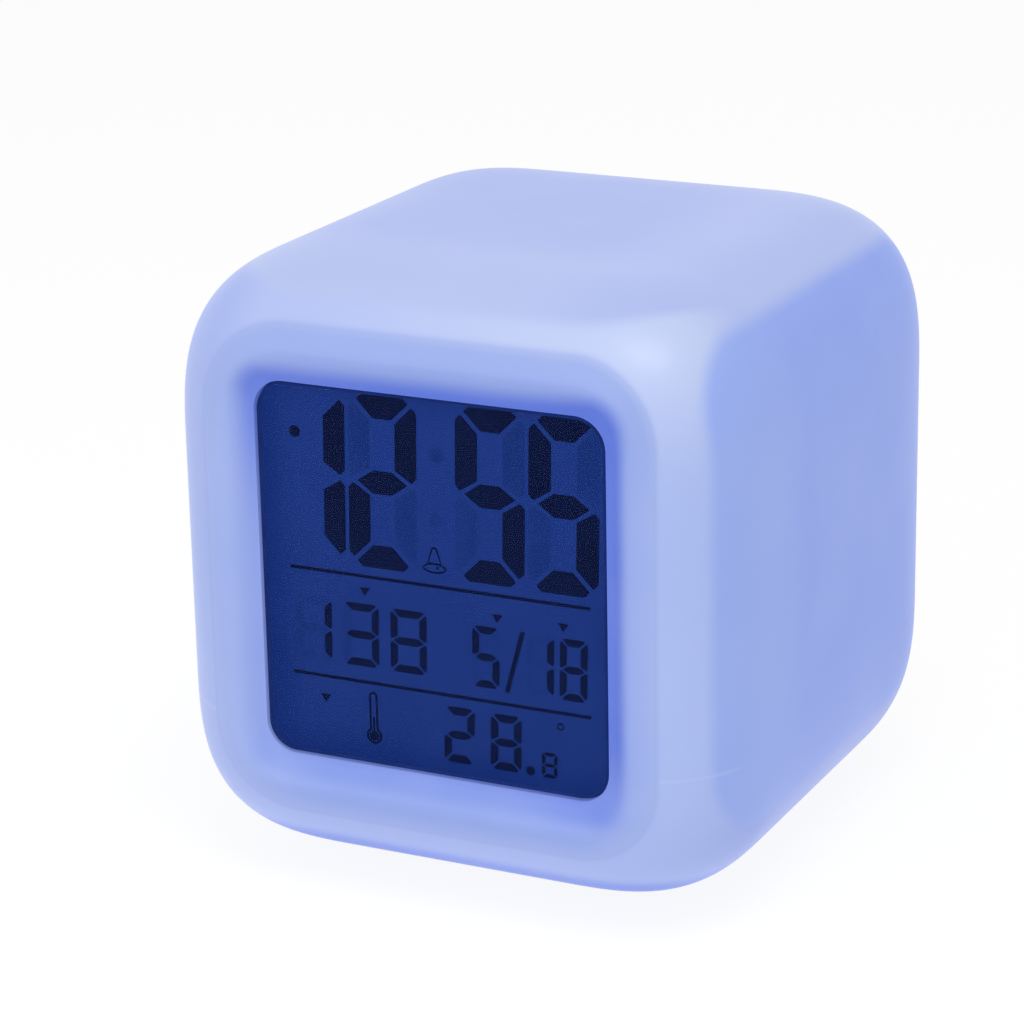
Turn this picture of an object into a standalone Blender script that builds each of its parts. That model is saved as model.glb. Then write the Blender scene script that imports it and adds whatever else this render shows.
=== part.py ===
"""A cube-shaped LCD table clock with a soft, milky shell that glows from inside.

Metres, +Z up, front towards -Y. The origin is on the table, under the middle of the clock.
The base stands on four rubber feet. All the rest, the housing, slides down on the base
against four springs when someone presses the cube.
"""

import math

import bmesh
import bpy
from mathutils import Matrix, Vector

# Clearance between pieces that touch or run beside each other
GAP = 0.0003

# Shell: overall size, wall, and the soft rounding that runs in from every side
SHELL_WIDTH = 0.0780
SHELL_DEPTH = 0.0820
SHELL_HEIGHT = 0.0780
SHELL_WALL = 0.0018
EDGE_REACH = 0.0240
EDGE_EXPONENT = 3.0
OUTER_STEPS = 10
INNER_STEPS = 6

# Window in the shell's front, with its sloping surround
WINDOW_WIDTH = 0.0470
WINDOW_HEIGHT = 0.0482
WINDOW_ABOVE_MIDDLE = 0.0012
WINDOW_CORNER = 0.0040
WINDOW_DEPTH = 0.0032
SLOPE_WIDTH = 0.0030
SLOPE_OVERRUN = 0.0010
LIP_THICKNESS = 0.0010
SURROUND_MARGIN = 0.0044

# Display, from the lens back to the main board
LENS_FLANGE_WIDTH = 0.0014
LENS_FLANGE_THICKNESS = 0.0010
GLASS_MARGIN = 0.0012
GLASS_THICKNESS = 0.0011
GLASS_LEDGE = 0.0026
DIFFUSER_THICKNESS = 0.0010
DIFFUSER_GAP_BEHIND = 0.0022
FRAME_WALL = 0.0017
ZEBRA_LENGTH = 0.0440
ZEBRA_HEIGHT = 0.0020
BOARD_THICKNESS = 0.0016
MAIN_BOARD_BORDER = 0.0025
MAIN_BOARD_END_BORDER = 0.0055
MAIN_BOARD_CORNER = 0.0020
POST_RADIUS = 0.0022
POST_SPREAD_Z = 0.0440
CHIP_RADIUS = 0.0065
CHIP_SHOULDER_RADIUS = 0.0056
CHIP_TOP_RADIUS = 0.0029
CHIP_SHOULDER_HEIGHT = 0.0011
CHIP_HEIGHT = 0.0018

# Screws: a small one for boards and chassis, a larger one for the rear cover
SMALL_HEAD_RADIUS = 0.0017
SMALL_HEAD_HEIGHT = 0.0012
SMALL_SHANK_RADIUS = 0.0007
SMALL_SHANK_LENGTH = 0.0060
COVER_HEAD_RADIUS = 0.0019
COVER_HEAD_HEIGHT = 0.0010
COVER_SHANK_RADIUS = 0.0008
COVER_SHANK_LENGTH = 0.0065
PILOT_EXTRA = 0.0006
DRIVE_RADIUS = 0.0009
DRIVE_DEPTH = 0.0005
DRIVE_FLOOR_SHARE = 0.6
SCREW_TIP_SHARE = 0.5
SCREW_EDGE_SHARE = 0.5
SCREW_CROWN_SHARE = 0.72

# Base plate, feet, and the springs that carry the housing
FOOT_RADIUS = 0.0040
FOOT_HEIGHT = 0.0012
FOOT_CHAMFER = 0.0003
FOOT_INSET = 0.0070
BASE_INSET = 0.0170
BASE_CORNER = 0.0060
BASE_DROP = 0.0005
BASE_RIM_HEIGHT = 0.0030
BASE_RIM_WIDTH = 0.0012
BASE_FLANGE_WIDTH = 0.0020
BASE_FLANGE_THICKNESS = 0.0015
PRESS_TRAVEL = 0.0010
SPRING_RADIUS = 0.0022
SPRING_WIRE = 0.0006
SPRING_LENGTH = 0.0070
SPRING_TURNS = 5
SPRING_INSET_X = 0.0050
SPRING_INSET_Y = 0.0060
SPRING_PIN_RADIUS = 0.0015
SPRING_PIN_HEIGHT = 0.0013

# Chassis above the base, with the lamp board on it and the snooze switch under it
CHASSIS_SIDE_GAP = 0.0090
CHASSIS_BACK_GAP = 0.0033
CHASSIS_THICKNESS = 0.0016
CHASSIS_CORNER = 0.0050
BOSS_RADIUS = 0.0024
BOSS_INSET = 0.0020
BOSS_FROM_FRONT = 0.0073
BOSS_FROM_BACK = 0.0065
LAMP_BOARD_WIDTH = 0.0340
LAMP_BOARD_DEPTH = 0.0160
LAMP_BOARD_Y = -0.0040
LAMP_BOARD_THICKNESS = 0.0012
LAMP_PILLAR_RADIUS = 0.0015
LAMP_PILLAR_HEIGHT = 0.0010
LAMP_PILLAR_INSET = 0.0030
LAMP_COUNT = 3
LAMP_PITCH = 0.0110
LAMP_RADIUS = 0.0025
LAMP_RIM = 0.0004
LAMP_RIM_HEIGHT = 0.0010
LAMP_STRAIGHT = 0.0038
SNOOZE_BOSS_RADIUS = 0.0030

# Switches under the buttons and above the base
SWITCH_SIZE = 0.0060
SWITCH_HEIGHT = 0.0035
PLUNGER_RADIUS = 0.0015
PLUNGER_SUNK = 0.0012
PLUNGER_SPARE = 0.0004
SWITCH_STANDOFF = 0.0015

# Battery cells, contacts and their pocket
CELL_LENGTH = 0.0445
CELL_RADIUS = 0.00525
CELL_NUB_RADIUS = 0.0019
CELL_NUB_LENGTH = 0.0010
CELL_SPACING = 0.0006
CONTACT_THICKNESS = 0.0004
CONTACT_HEIGHT = 0.0070
CONTACT_DEPTH = 0.0080
CONTACT_SPRING_LENGTH = 0.0035
CONTACT_SPRING_WIDE = 0.0032
CONTACT_SPRING_NARROW = 0.0020
CONTACT_SPRING_WIRE = 0.0005
CONTACT_SPRING_TURNS = 3
POCKET_WALL = 0.0015

# Rear cover, its opening in the shell, and the battery door
COVER_SET_IN = 0.0030
COVER_THICKNESS = 0.0020
COVER_SIDE_BORDER = 0.0022
COVER_BOTTOM_BORDER = 0.0025
COVER_BOTTOM_RISE = 0.0093
COVER_TOP_DROP = 0.0094
COVER_CORNER = 0.0097
LEDGE_WIDTH = 0.0020
LEDGE_THICKNESS = 0.0016
LEDGE_LOW_CORNER = 0.0010
REAR_RING_WALL = 0.0020
COVER_BOSS_RADIUS = 0.0030
COVER_BOSS_LENGTH = 0.0065
COVER_SCREW_SIDE = 0.0055
COVER_SCREW_TOP = 0.0045
COVER_HEAD_SUNK = 0.0014
HOOK_WIDTH = 0.0060
HOOK_SPREAD = 0.0240
HOOK_REACH = 0.0034
HOOK_THICKNESS = 0.0017
DOOR_THICKNESS = 0.0014
DOOR_SEAT_WIDTH = 0.0008
DOOR_CELL_CLEARANCE = 0.0005
DOOR_TOP_SEAT = 0.0012
DOOR_PIN_RADIUS = 0.0005
DOOR_PIN_LENGTH = 0.0013
DOOR_NOTCH_RADIUS = 0.0050
DOOR_NOTCH_DEPTH = 0.0008
DOOR_RIB_COUNT = 3
DOOR_RIB_WIDTH = 0.0120
DOOR_RIB_SIZE = 0.0005
DOOR_RIB_PITCH = 0.0017

# Buttons, light switch and sounder holes on the rear cover
BUTTON_COUNT = 4
BUTTON_PITCH = 0.0100
BUTTON_RADIUS = 0.0030
BUTTON_PROUD = 0.0012
BUTTON_TRAVEL = 0.0007
BUTTON_CHAMFER = 0.0004
BUTTON_FLANGE_WIDTH = 0.0010
BUTTON_FLANGE_THICKNESS = 0.0010
BUTTON_ROW_DROP = 0.0092
SWITCH_ROW_DROP = 0.0073
POCKET_DROP = 0.0038
SLIDE_CENTRE_X = 0.0080
SLIDE_TRAVEL = 0.0020
SLIDE_BODY_WIDTH = 0.0086
SLIDE_BODY_HEIGHT = 0.0036
SLIDE_STEM = 0.0016
SLIDE_TAB_WIDTH = 0.0032
SLIDE_TAB_HEIGHT = 0.0028
SLIDE_TAB_THICKNESS = 0.0011
SOUND_HOLE_COUNT = 5
SOUND_HOLE_PITCH = 0.0024
SOUND_HOLE_RADIUS = 0.00075
SOUND_HOLES_X = -0.0085
BUTTON_BOARD_WIDTH = 0.0380
BUTTON_BOARD_THICKNESS = 0.0012
BUTTON_BOARD_BELOW = 0.0033
BUTTON_BOARD_ABOVE = 0.0060
COVER_POST_RADIUS = 0.0014
COVER_POST_INSET = 0.0021
COVER_POST_TIP = 0.0008
COVER_POST_TIP_LENGTH = 0.0018
SOUNDER_RADIUS = 0.0058
SOUNDER_HEIGHT = 0.0055
SOUNDER_X = -0.0080

# Leads inside the housing
RIBBON_WIDTH = 0.0080
RIBBON_THICKNESS = 0.0006
RIBBON_SAG = 0.0050
RIBBON_X = 0.0080
RIBBON_RISE = 0.0098
LEAD_RADIUS = 0.0007
LEAD_SAG = 0.0030
LEAD_X = -0.0160
LEAD_DROP = 0.0062
LEAD_POINTS = 16

# Planes across the depth of the clock, front first
FRONT_Y = -SHELL_DEPTH / 2
LENS_FRONT_Y = FRONT_Y + WINDOW_DEPTH
LIP_BACK_Y = LENS_FRONT_Y + LIP_THICKNESS
FLANGE_FRONT_Y = LIP_BACK_Y + GAP
SURROUND_BACK_Y = FLANGE_FRONT_Y + LENS_FLANGE_THICKNESS
GLASS_FRONT_Y = SURROUND_BACK_Y + GAP
GLASS_STEP_Y = GLASS_FRONT_Y + GLASS_THICKNESS
GLASS_BACK_Y = GLASS_STEP_Y + GLASS_THICKNESS
DIFFUSER_FRONT_Y = GLASS_BACK_Y + GAP
DIFFUSER_BACK_Y = DIFFUSER_FRONT_Y + DIFFUSER_THICKNESS
FRAME_BACK_Y = DIFFUSER_BACK_Y + DIFFUSER_GAP_BEHIND
MAIN_BOARD_FRONT_Y = FRAME_BACK_Y + GAP
MAIN_BOARD_BACK_Y = MAIN_BOARD_FRONT_Y + BOARD_THICKNESS

BACK_Y = SHELL_DEPTH / 2
COVER_OUT_Y = BACK_Y - COVER_SET_IN
COVER_IN_Y = COVER_OUT_Y - COVER_THICKNESS
LEDGE_OUT_Y = COVER_IN_Y - GAP
LEDGE_IN_Y = LEDGE_OUT_Y - LEDGE_THICKNESS
DOOR_IN_Y = COVER_OUT_Y - DOOR_THICKNESS
DOOR_SEAT_Y = DOOR_IN_Y - GAP
CELL_Y = DOOR_IN_Y - DOOR_CELL_CLEARANCE - CELL_RADIUS
POCKET_FLOOR_Y = CELL_Y - CELL_RADIUS - GAP
POCKET_BACK_Y = POCKET_FLOOR_Y - POCKET_WALL
CHASSIS_FRONT_Y = MAIN_BOARD_BACK_Y + GAP
CHASSIS_BACK_Y = POCKET_BACK_Y - CHASSIS_BACK_GAP
BOSS_FRONT_Y = CHASSIS_FRONT_Y + BOSS_FROM_FRONT
BOSS_BACK_Y = CHASSIS_BACK_Y - BOSS_FROM_BACK
BUTTON_FLANGE_OUT_Y = COVER_IN_Y - GAP
BUTTON_FLANGE_IN_Y = BUTTON_FLANGE_OUT_Y - BUTTON_FLANGE_THICKNESS
SWITCH_OUT_Y = BUTTON_FLANGE_IN_Y - BUTTON_TRAVEL - SWITCH_STANDOFF
SWITCH_IN_Y = SWITCH_OUT_Y - SWITCH_HEIGHT
BUTTON_BOARD_OUT_Y = SWITCH_IN_Y - GAP
BUTTON_BOARD_IN_Y = BUTTON_BOARD_OUT_Y - BUTTON_BOARD_THICKNESS

# Levels, from the table up
BASE_BOTTOM_Z = FOOT_HEIGHT + GAP
SHELL_BOTTOM_Z = BASE_BOTTOM_Z + BASE_DROP
SHELL_TOP_Z = SHELL_BOTTOM_Z + SHELL_HEIGHT
SHELL_CENTRE_Z = (SHELL_BOTTOM_Z + SHELL_TOP_Z) / 2
WINDOW_CENTRE_Z = SHELL_CENTRE_Z + WINDOW_ABOVE_MIDDLE
BASE_RIM_TOP_Z = SHELL_BOTTOM_Z + BASE_RIM_HEIGHT
BASE_FLANGE_Z = BASE_RIM_TOP_Z + GAP
BASE_TOP_Z = BASE_FLANGE_Z + BASE_FLANGE_THICKNESS
SPRING_BOTTOM_Z = BASE_TOP_Z + GAP
CHASSIS_BOTTOM_Z = SPRING_BOTTOM_Z + SPRING_LENGTH + GAP
CHASSIS_TOP_Z = CHASSIS_BOTTOM_Z + CHASSIS_THICKNESS
LAMP_BOARD_Z = CHASSIS_TOP_Z + LAMP_PILLAR_HEIGHT + GAP
LAMP_Z = LAMP_BOARD_Z + LAMP_BOARD_THICKNESS + GAP
SNOOZE_SWITCH_Z = CHASSIS_BOTTOM_Z - GAP - SWITCH_HEIGHT
SNOOZE_PLUNGER_Z = SNOOZE_SWITCH_Z - PRESS_TRAVEL - PLUNGER_SPARE - 2 * GAP

# Base and chassis, which follow the shell
BASE_WIDTH = SHELL_WIDTH - 2 * BASE_INSET
BASE_DEPTH = SHELL_DEPTH - 2 * BASE_INSET
FOOT_SPREAD_X = BASE_WIDTH - 2 * FOOT_INSET
FOOT_SPREAD_Y = BASE_DEPTH - 2 * FOOT_INSET
SPRING_SPREAD_X = BASE_WIDTH - 2 * SPRING_INSET_X
SPRING_SPREAD_Y = BASE_DEPTH - 2 * SPRING_INSET_Y
CHASSIS_WIDTH = SHELL_WIDTH - 2 * CHASSIS_SIDE_GAP
BOSS_SPREAD_X = CHASSIS_WIDTH - 2 * BOSS_INSET

# Rows on the rear cover, from its top down, and the battery pocket from its bottom up.
# The pocket holds as many cells as fit under the row of switches.
COVER_TOP_Z = SHELL_TOP_Z - COVER_TOP_DROP
COVER_BOTTOM_Z = SHELL_BOTTOM_Z + COVER_BOTTOM_RISE
BUTTON_ROW_Z = COVER_TOP_Z - BUTTON_ROW_DROP
SWITCH_ROW_Z = BUTTON_ROW_Z - SWITCH_ROW_DROP
CELL_PITCH = 2 * CELL_RADIUS + CELL_SPACING
POCKET_WIDTH = CELL_LENGTH + CONTACT_SPRING_LENGTH + 2 * (CONTACT_THICKNESS + 2 * GAP)
POCKET_OUTER_WIDTH = POCKET_WIDTH + 2 * POCKET_WALL
POCKET_OUTER_BOTTOM_Z = COVER_BOTTOM_Z + COVER_BOTTOM_BORDER
POCKET_BOTTOM_Z = POCKET_OUTER_BOTTOM_Z + POCKET_WALL
FIRST_CELL_Z = POCKET_BOTTOM_Z + GAP + CELL_RADIUS
HIGHEST_CELL_Z = SWITCH_ROW_Z - POCKET_DROP - POCKET_WALL - GAP - CELL_RADIUS
CELL_COUNT = 1 + int((HIGHEST_CELL_Z - FIRST_CELL_Z) / CELL_PITCH)
LAST_CELL_Z = FIRST_CELL_Z + (CELL_COUNT - 1) * CELL_PITCH
POCKET_TOP_Z = LAST_CELL_Z + CELL_RADIUS + GAP
POCKET_OUTER_TOP_Z = POCKET_TOP_Z + POCKET_WALL
COVER_WIDTH = POCKET_OUTER_WIDTH + 2 * COVER_SIDE_BORDER
COVER_HEIGHT = COVER_TOP_Z - COVER_BOTTOM_Z
COVER_CENTRE_Z = (COVER_TOP_Z + COVER_BOTTOM_Z) / 2
COVER_SCREW_X = COVER_WIDTH / 2 - COVER_SCREW_SIDE
COVER_SCREW_Z = COVER_TOP_Z - COVER_SCREW_TOP
OPENING_WIDTH = COVER_WIDTH + 2 * GAP
OPENING_HEIGHT = COVER_HEIGHT + 2 * GAP
OPENING_CORNER = COVER_CORNER + GAP
DOOR_RECESS_WIDTH = POCKET_WIDTH + 2 * DOOR_SEAT_WIDTH
DOOR_WIDTH = DOOR_RECESS_WIDTH - 2 * GAP
DOOR_HINGE_Y = COVER_OUT_Y - DOOR_THICKNESS / 2
DOOR_HINGE_Z = POCKET_BOTTOM_Z
DOOR_TOP_Z = POCKET_TOP_Z + DOOR_TOP_SEAT - GAP

# Display widths that follow the window
LENS_WIDTH = WINDOW_WIDTH - 2 * GAP
LENS_HEIGHT = WINDOW_HEIGHT - 2 * GAP
LENS_CORNER = WINDOW_CORNER - GAP
FLANGE_WIDTH = WINDOW_WIDTH + 2 * LENS_FLANGE_WIDTH
FLANGE_HEIGHT = WINDOW_HEIGHT + 2 * LENS_FLANGE_WIDTH
GLASS_WIDTH = WINDOW_WIDTH + 2 * GLASS_MARGIN
GLASS_HEIGHT = WINDOW_HEIGHT + 2 * GLASS_MARGIN
FRAME_WIDTH = GLASS_WIDTH + 2 * (GAP + FRAME_WALL)
FRAME_HEIGHT = GLASS_HEIGHT + 2 * (GAP + FRAME_WALL)
POST_X = FRAME_WIDTH / 2 + GAP + POST_RADIUS
MAIN_BOARD_WIDTH = 2 * (POST_X + MAIN_BOARD_BORDER)
MAIN_BOARD_HEIGHT = POST_SPREAD_Z + 2 * MAIN_BOARD_END_BORDER

ROUND_SIDES = 20
SMALL_SIDES = 10
CORNER_STEPS = 5


def spot(axis, across, up, along):
    """The point at two coordinates across an axis and one along it."""
    if axis == "X":
        return Vector((along, across, up))
    if axis == "Y":
        return Vector((across, along, up))
    return Vector((across, up, along))


def circle(radius, sides=ROUND_SIDES, centre=(0.0, 0.0)):
    turns = [2 * math.pi * i / sides for i in range(sides)]
    return [(centre[0] + radius * math.cos(t), centre[1] + radius * math.sin(t)) for t in turns]


def rounded_rectangle(width, height, radius, centre=(0.0, 0.0), steps=CORNER_STEPS, low_radius=None):
    """Outline of a rectangle with round corners, anticlockwise. Its low corners may differ."""
    points = []
    for quarter, (side_x, side_y) in enumerate(((1, 1), (-1, 1), (-1, -1), (1, -1))):
        corner = low_radius if low_radius and side_y < 0 else radius
        corner = min(corner, width / 2, height / 2)
        corner_x = centre[0] + side_x * (width / 2 - corner)
        corner_y = centre[1] + side_y * (height / 2 - corner)
        for i in range(steps + 1):
            angle = (quarter + i / steps) * math.pi / 2
            points.append((corner_x + corner * math.cos(angle), corner_y + corner * math.sin(angle)))
    return points


def rectangle(left, right, bottom, top):
    return [(right, top), (left, top), (left, bottom), (right, bottom)]


def loft(mesh, axis, sections, closed=False):
    """Joins outlines of as many points each, given as (place along the axis, outline)."""
    rings = [[mesh.verts.new(spot(axis, u, v, place)) for u, v in line] for place, line in sections]
    faces = []
    pairs = list(zip(rings, rings[1:]))
    if closed:
        pairs.append((rings[-1], rings[0]))
    for near, far in pairs:
        for i in range(len(near)):
            faces.append(mesh.faces.new((near[i - 1], near[i], far[i], far[i - 1])))
    if not closed:
        faces.append(mesh.faces.new(rings[0]))
        faces.append(mesh.faces.new(rings[-1]))
    bmesh.ops.recalc_face_normals(mesh, faces=faces)
    return mesh


def prism(mesh, axis, outline, start, end):
    return loft(mesh, axis, [(start, outline), (end, outline)])


def block(mesh, low, high):
    """A box between two corners."""
    low, high = Vector(low), Vector(high)
    place = Matrix.Translation((low + high) / 2) @ Matrix.Diagonal((*(high - low), 1.0))
    bmesh.ops.create_cube(mesh, size=1.0, matrix=place)
    return mesh


def soft_box(mesh, size, centre, reach, steps):
    """A box whose edges and corners are rounded along a squared circle."""
    place = Matrix.Translation(centre) @ Matrix.Diagonal((*size, 1.0))
    bmesh.ops.create_cube(mesh, size=1.0, matrix=place)
    bmesh.ops.bevel(
        mesh,
        geom=mesh.edges[:],
        offset=reach,
        offset_type="OFFSET",
        segments=steps,
        profile=2 ** (-2 / EDGE_EXPONENT),
        affect="EDGES",
    )
    return mesh


def tube(mesh, points, radius, sides):
    """A round wire through the points, with flat ends and no twist between them."""
    ahead = [(after - before).normalized() for before, after in zip(points, points[1:])]
    tangents = [ahead[0]]
    tangents += [(one + two).normalized() for one, two in zip(ahead, ahead[1:])]
    tangents.append(ahead[-1])
    side = tangents[0].orthogonal().normalized()
    rings = []
    for point, tangent in zip(points, tangents):
        side = (side - tangent * side.dot(tangent)).normalized()
        other = tangent.cross(side)
        ring = []
        for i in range(sides):
            angle = 2 * math.pi * i / sides
            offset = side * math.cos(angle) + other * math.sin(angle)
            ring.append(mesh.verts.new(point + offset * radius))
        rings.append(ring)
    faces = [mesh.faces.new(rings[0]), mesh.faces.new(rings[-1])]
    for near, far in zip(rings, rings[1:]):
        for i in range(sides):
            faces.append(mesh.faces.new((near[i - 1], near[i], far[i], far[i - 1])))
    bmesh.ops.recalc_face_normals(mesh, faces=faces)
    return mesh


def helix(axis, start, length, first_radius, last_radius, turns, steps=8):
    """Points along a coil that may narrow from its first turn to its last."""
    points = []
    for i in range(turns * steps + 1):
        share = i / (turns * steps)
        radius = first_radius + (last_radius - first_radius) * share
        angle = 2 * math.pi * i / steps
        points.append(spot(axis, radius * math.cos(angle), radius * math.sin(angle), start + length * share))
    return points


def material(name, colour, roughness, metallic=0.0, alpha=1.0, glow=0.0):
    made = bpy.data.materials.new(name)
    made.use_nodes = True
    shader = made.node_tree.nodes["Principled BSDF"]
    shader.inputs["Base Color"].default_value = (*colour, 1.0)
    shader.inputs["Roughness"].default_value = roughness
    shader.inputs["Metallic"].default_value = metallic
    shader.inputs["Alpha"].default_value = alpha
    shader.inputs["Emission Color"].default_value = (*colour, 1.0)
    shader.inputs["Emission Strength"].default_value = glow
    made.diffuse_color = (*colour, alpha)
    return made


def piece(name, mesh, finish, parent, location=(0, 0, 0), turn=(0, 0, 0)):
    """Makes the named object from a bmesh, in its finish, on what carries it."""
    data = bpy.data.meshes.new(name)
    mesh.to_mesh(data)
    mesh.free()
    data.shade_smooth()
    data.set_sharp_from_angle(angle=math.radians(35))
    made = bpy.data.objects.new(name, data)
    bpy.context.scene.collection.objects.link(made)
    if finish is not None:
        data.materials.append(finish)
    made.parent = parent
    made.location = location
    made.rotation_euler = turn
    return made


def tool(name, mesh, parent, location=(0, 0, 0)):
    """A construction solid that cuts or joins another and isn't part of the clock."""
    made = piece(name, mesh, None, parent, location)
    made.hide_render = True
    made.display_type = "WIRE"
    return made


def boolean(target, other, operation="DIFFERENCE"):
    modifier = target.modifiers.new(other.name, "BOOLEAN")
    modifier.operation = operation
    modifier.solver = "EXACT"
    modifier.object = other
    return target


def carrier(name, parent=None, location=(0, 0, 0)):
    """An empty that carries the pieces of one moving body."""
    made = bpy.data.objects.new(name, None)
    bpy.context.scene.collection.objects.link(made)
    made.parent = parent
    made.location = location
    return made


def four_corners(spread_x, spread_y):
    signs = ((-1, -1), (1, -1), (-1, 1), (1, 1))
    return [(sx * spread_x / 2, sy * spread_y / 2) for sx, sy in signs]


def chassis_bosses():
    return [(side * BOSS_SPREAD_X / 2, y) for y in (BOSS_FRONT_Y, BOSS_BACK_Y) for side in (-1, 1)]


def board_posts():
    middle = WINDOW_CENTRE_Z
    return [(x, middle + z) for x, z in four_corners(2 * POST_X, POST_SPREAD_Z)]


def cover_screws():
    return [(side * COVER_SCREW_X, COVER_SCREW_Z) for side in (-1, 1)]


def button_places():
    first = -(BUTTON_COUNT - 1) * BUTTON_PITCH / 2
    return [first + i * BUTTON_PITCH for i in range(BUTTON_COUNT)]


def window_outline(grow, corner=WINDOW_CORNER):
    size = (WINDOW_WIDTH + 2 * grow, WINDOW_HEIGHT + 2 * grow)
    return rounded_rectangle(*size, corner, (0.0, WINDOW_CENTRE_Z))


def opening_outline(grow, corner, low_corner=None):
    size = (OPENING_WIDTH + 2 * grow, OPENING_HEIGHT + 2 * grow)
    return rounded_rectangle(*size, corner, (0.0, COVER_CENTRE_Z), low_radius=low_corner)


def base_outline(grow):
    """Outline of the base plate's flange, or of what is larger than it by grow all round."""
    width = BASE_WIDTH + 2 * (BASE_FLANGE_WIDTH + grow)
    depth = BASE_DEPTH + 2 * (BASE_FLANGE_WIDTH + grow)
    return rounded_rectangle(width, depth, BASE_CORNER + BASE_FLANGE_WIDTH + grow)


def shell_supports(parent):
    """The shell's hollow, less all that stands on its inner wall for other pieces to seat on."""
    centre = (0, 0, SHELL_CENTRE_Z)
    size = (SHELL_WIDTH, SHELL_DEPTH, SHELL_HEIGHT)
    hollow_size = [side - 2 * SHELL_WALL for side in size]
    hollow = soft_box(bmesh.new(), hollow_size, centre, EDGE_REACH - SHELL_WALL, INNER_STEPS)
    hollow = tool("shell_hollow", hollow, parent)

    surround = bmesh.new()
    edge = window_outline(SURROUND_MARGIN, WINDOW_CORNER + SURROUND_MARGIN)
    prism(surround, "Y", edge, FRONT_Y, SURROUND_BACK_Y)
    boolean(hollow, tool("window_surround", surround, parent))

    ring = bmesh.new()
    outer = opening_outline(REAR_RING_WALL, OPENING_CORNER + REAR_RING_WALL)
    inner = opening_outline(-LEDGE_WIDTH, OPENING_CORNER - LEDGE_WIDTH, LEDGE_LOW_CORNER)
    loft(
        ring,
        "Y",
        [(LEDGE_IN_Y, outer), (BACK_Y, outer), (BACK_Y, inner), (LEDGE_IN_Y, inner)],
        closed=True,
    )
    boolean(hollow, tool("cover_ring", ring, parent))

    rim = prism(bmesh.new(), "Z", base_outline(BASE_RIM_WIDTH), SHELL_BOTTOM_Z, BASE_RIM_TOP_Z)
    boolean(hollow, tool("base_rim", rim, parent))

    pillars = bmesh.new()
    for x, z in board_posts():
        prism(pillars, "Y", circle(POST_RADIUS, SMALL_SIDES, (x, z)), FRONT_Y, FRAME_BACK_Y)
    for x, y in chassis_bosses():
        outline = circle(BOSS_RADIUS, SMALL_SIDES, (x, y))
        prism(pillars, "Z", outline, SHELL_BOTTOM_Z, CHASSIS_BOTTOM_Z - GAP)
    boolean(hollow, tool("shell_pillars", pillars, parent))

    bosses = bmesh.new()
    for x, z in cover_screws():
        outline = circle(COVER_BOSS_RADIUS, SMALL_SIDES, (x, z))
        prism(bosses, "Y", outline, LEDGE_OUT_Y - COVER_BOSS_LENGTH, COVER_IN_Y)
    boolean(hollow, tool("cover_bosses", bosses, parent))
    return hollow


def shell_openings(parent):
    """Window, rear and bottom openings, and the pilot holes in the posts and bosses."""
    window = bmesh.new()
    steepness = SLOPE_WIDTH / WINDOW_DEPTH
    spread = SLOPE_WIDTH + steepness * SLOPE_OVERRUN
    loft(
        window,
        "Y",
        [
            (FRONT_Y - SLOPE_OVERRUN, window_outline(spread, WINDOW_CORNER + spread)),
            (LENS_FRONT_Y, window_outline(0.0)),
            (FRAME_BACK_Y, window_outline(0.0)),
        ],
    )
    pocket = bmesh.new()
    grow = LENS_FLANGE_WIDTH + GAP
    prism(pocket, "Y", window_outline(grow, WINDOW_CORNER + grow), LIP_BACK_Y, FRAME_BACK_Y)

    rear = bmesh.new()
    prism(rear, "Y", opening_outline(0.0, OPENING_CORNER), LEDGE_OUT_Y, BACK_Y + SHELL_WALL)

    bottom = bmesh.new()
    outline = rounded_rectangle(BASE_WIDTH + 2 * GAP, BASE_DEPTH + 2 * GAP, BASE_CORNER + GAP)
    prism(bottom, "Z", outline, SHELL_BOTTOM_Z - SHELL_WALL, BASE_RIM_TOP_Z + SHELL_WALL)

    holes = bmesh.new()
    small_pilot = SMALL_SHANK_RADIUS + GAP
    for x, z in board_posts():
        deep = FRAME_BACK_Y - SMALL_SHANK_LENGTH + BOARD_THICKNESS - PILOT_EXTRA
        prism(holes, "Y", circle(small_pilot, SMALL_SIDES, (x, z)), deep, FRAME_BACK_Y + GAP)
    for x, y in chassis_bosses():
        deep = CHASSIS_TOP_Z - SMALL_SHANK_LENGTH - PILOT_EXTRA
        prism(holes, "Z", circle(small_pilot, SMALL_SIDES, (x, y)), deep, CHASSIS_BOTTOM_Z)
    for x, z in cover_screws():
        deep = COVER_OUT_Y - COVER_HEAD_SUNK - COVER_SHANK_LENGTH - PILOT_EXTRA + GAP
        outline = circle(COVER_SHANK_RADIUS + GAP, SMALL_SIDES, (x, z))
        prism(holes, "Y", outline, deep, COVER_IN_Y)
    made = (
        ("window_cut", window),
        ("lens_pocket", pocket),
        ("rear_cut", rear),
        ("bottom_cut", bottom),
        ("pilot_holes", holes),
    )
    return [tool(name, mesh, parent) for name, mesh in made]


def make_shell(finish, parent):
    """One-piece milky shell, open at the window, the rear and the bottom."""
    size = (SHELL_WIDTH, SHELL_DEPTH, SHELL_HEIGHT)
    body = soft_box(bmesh.new(), size, (0, 0, SHELL_CENTRE_Z), EDGE_REACH, OUTER_STEPS)
    shell = piece("shell", body, finish, parent)
    boolean(shell, shell_supports(parent))
    for cut in shell_openings(parent):
        boolean(shell, cut)


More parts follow.
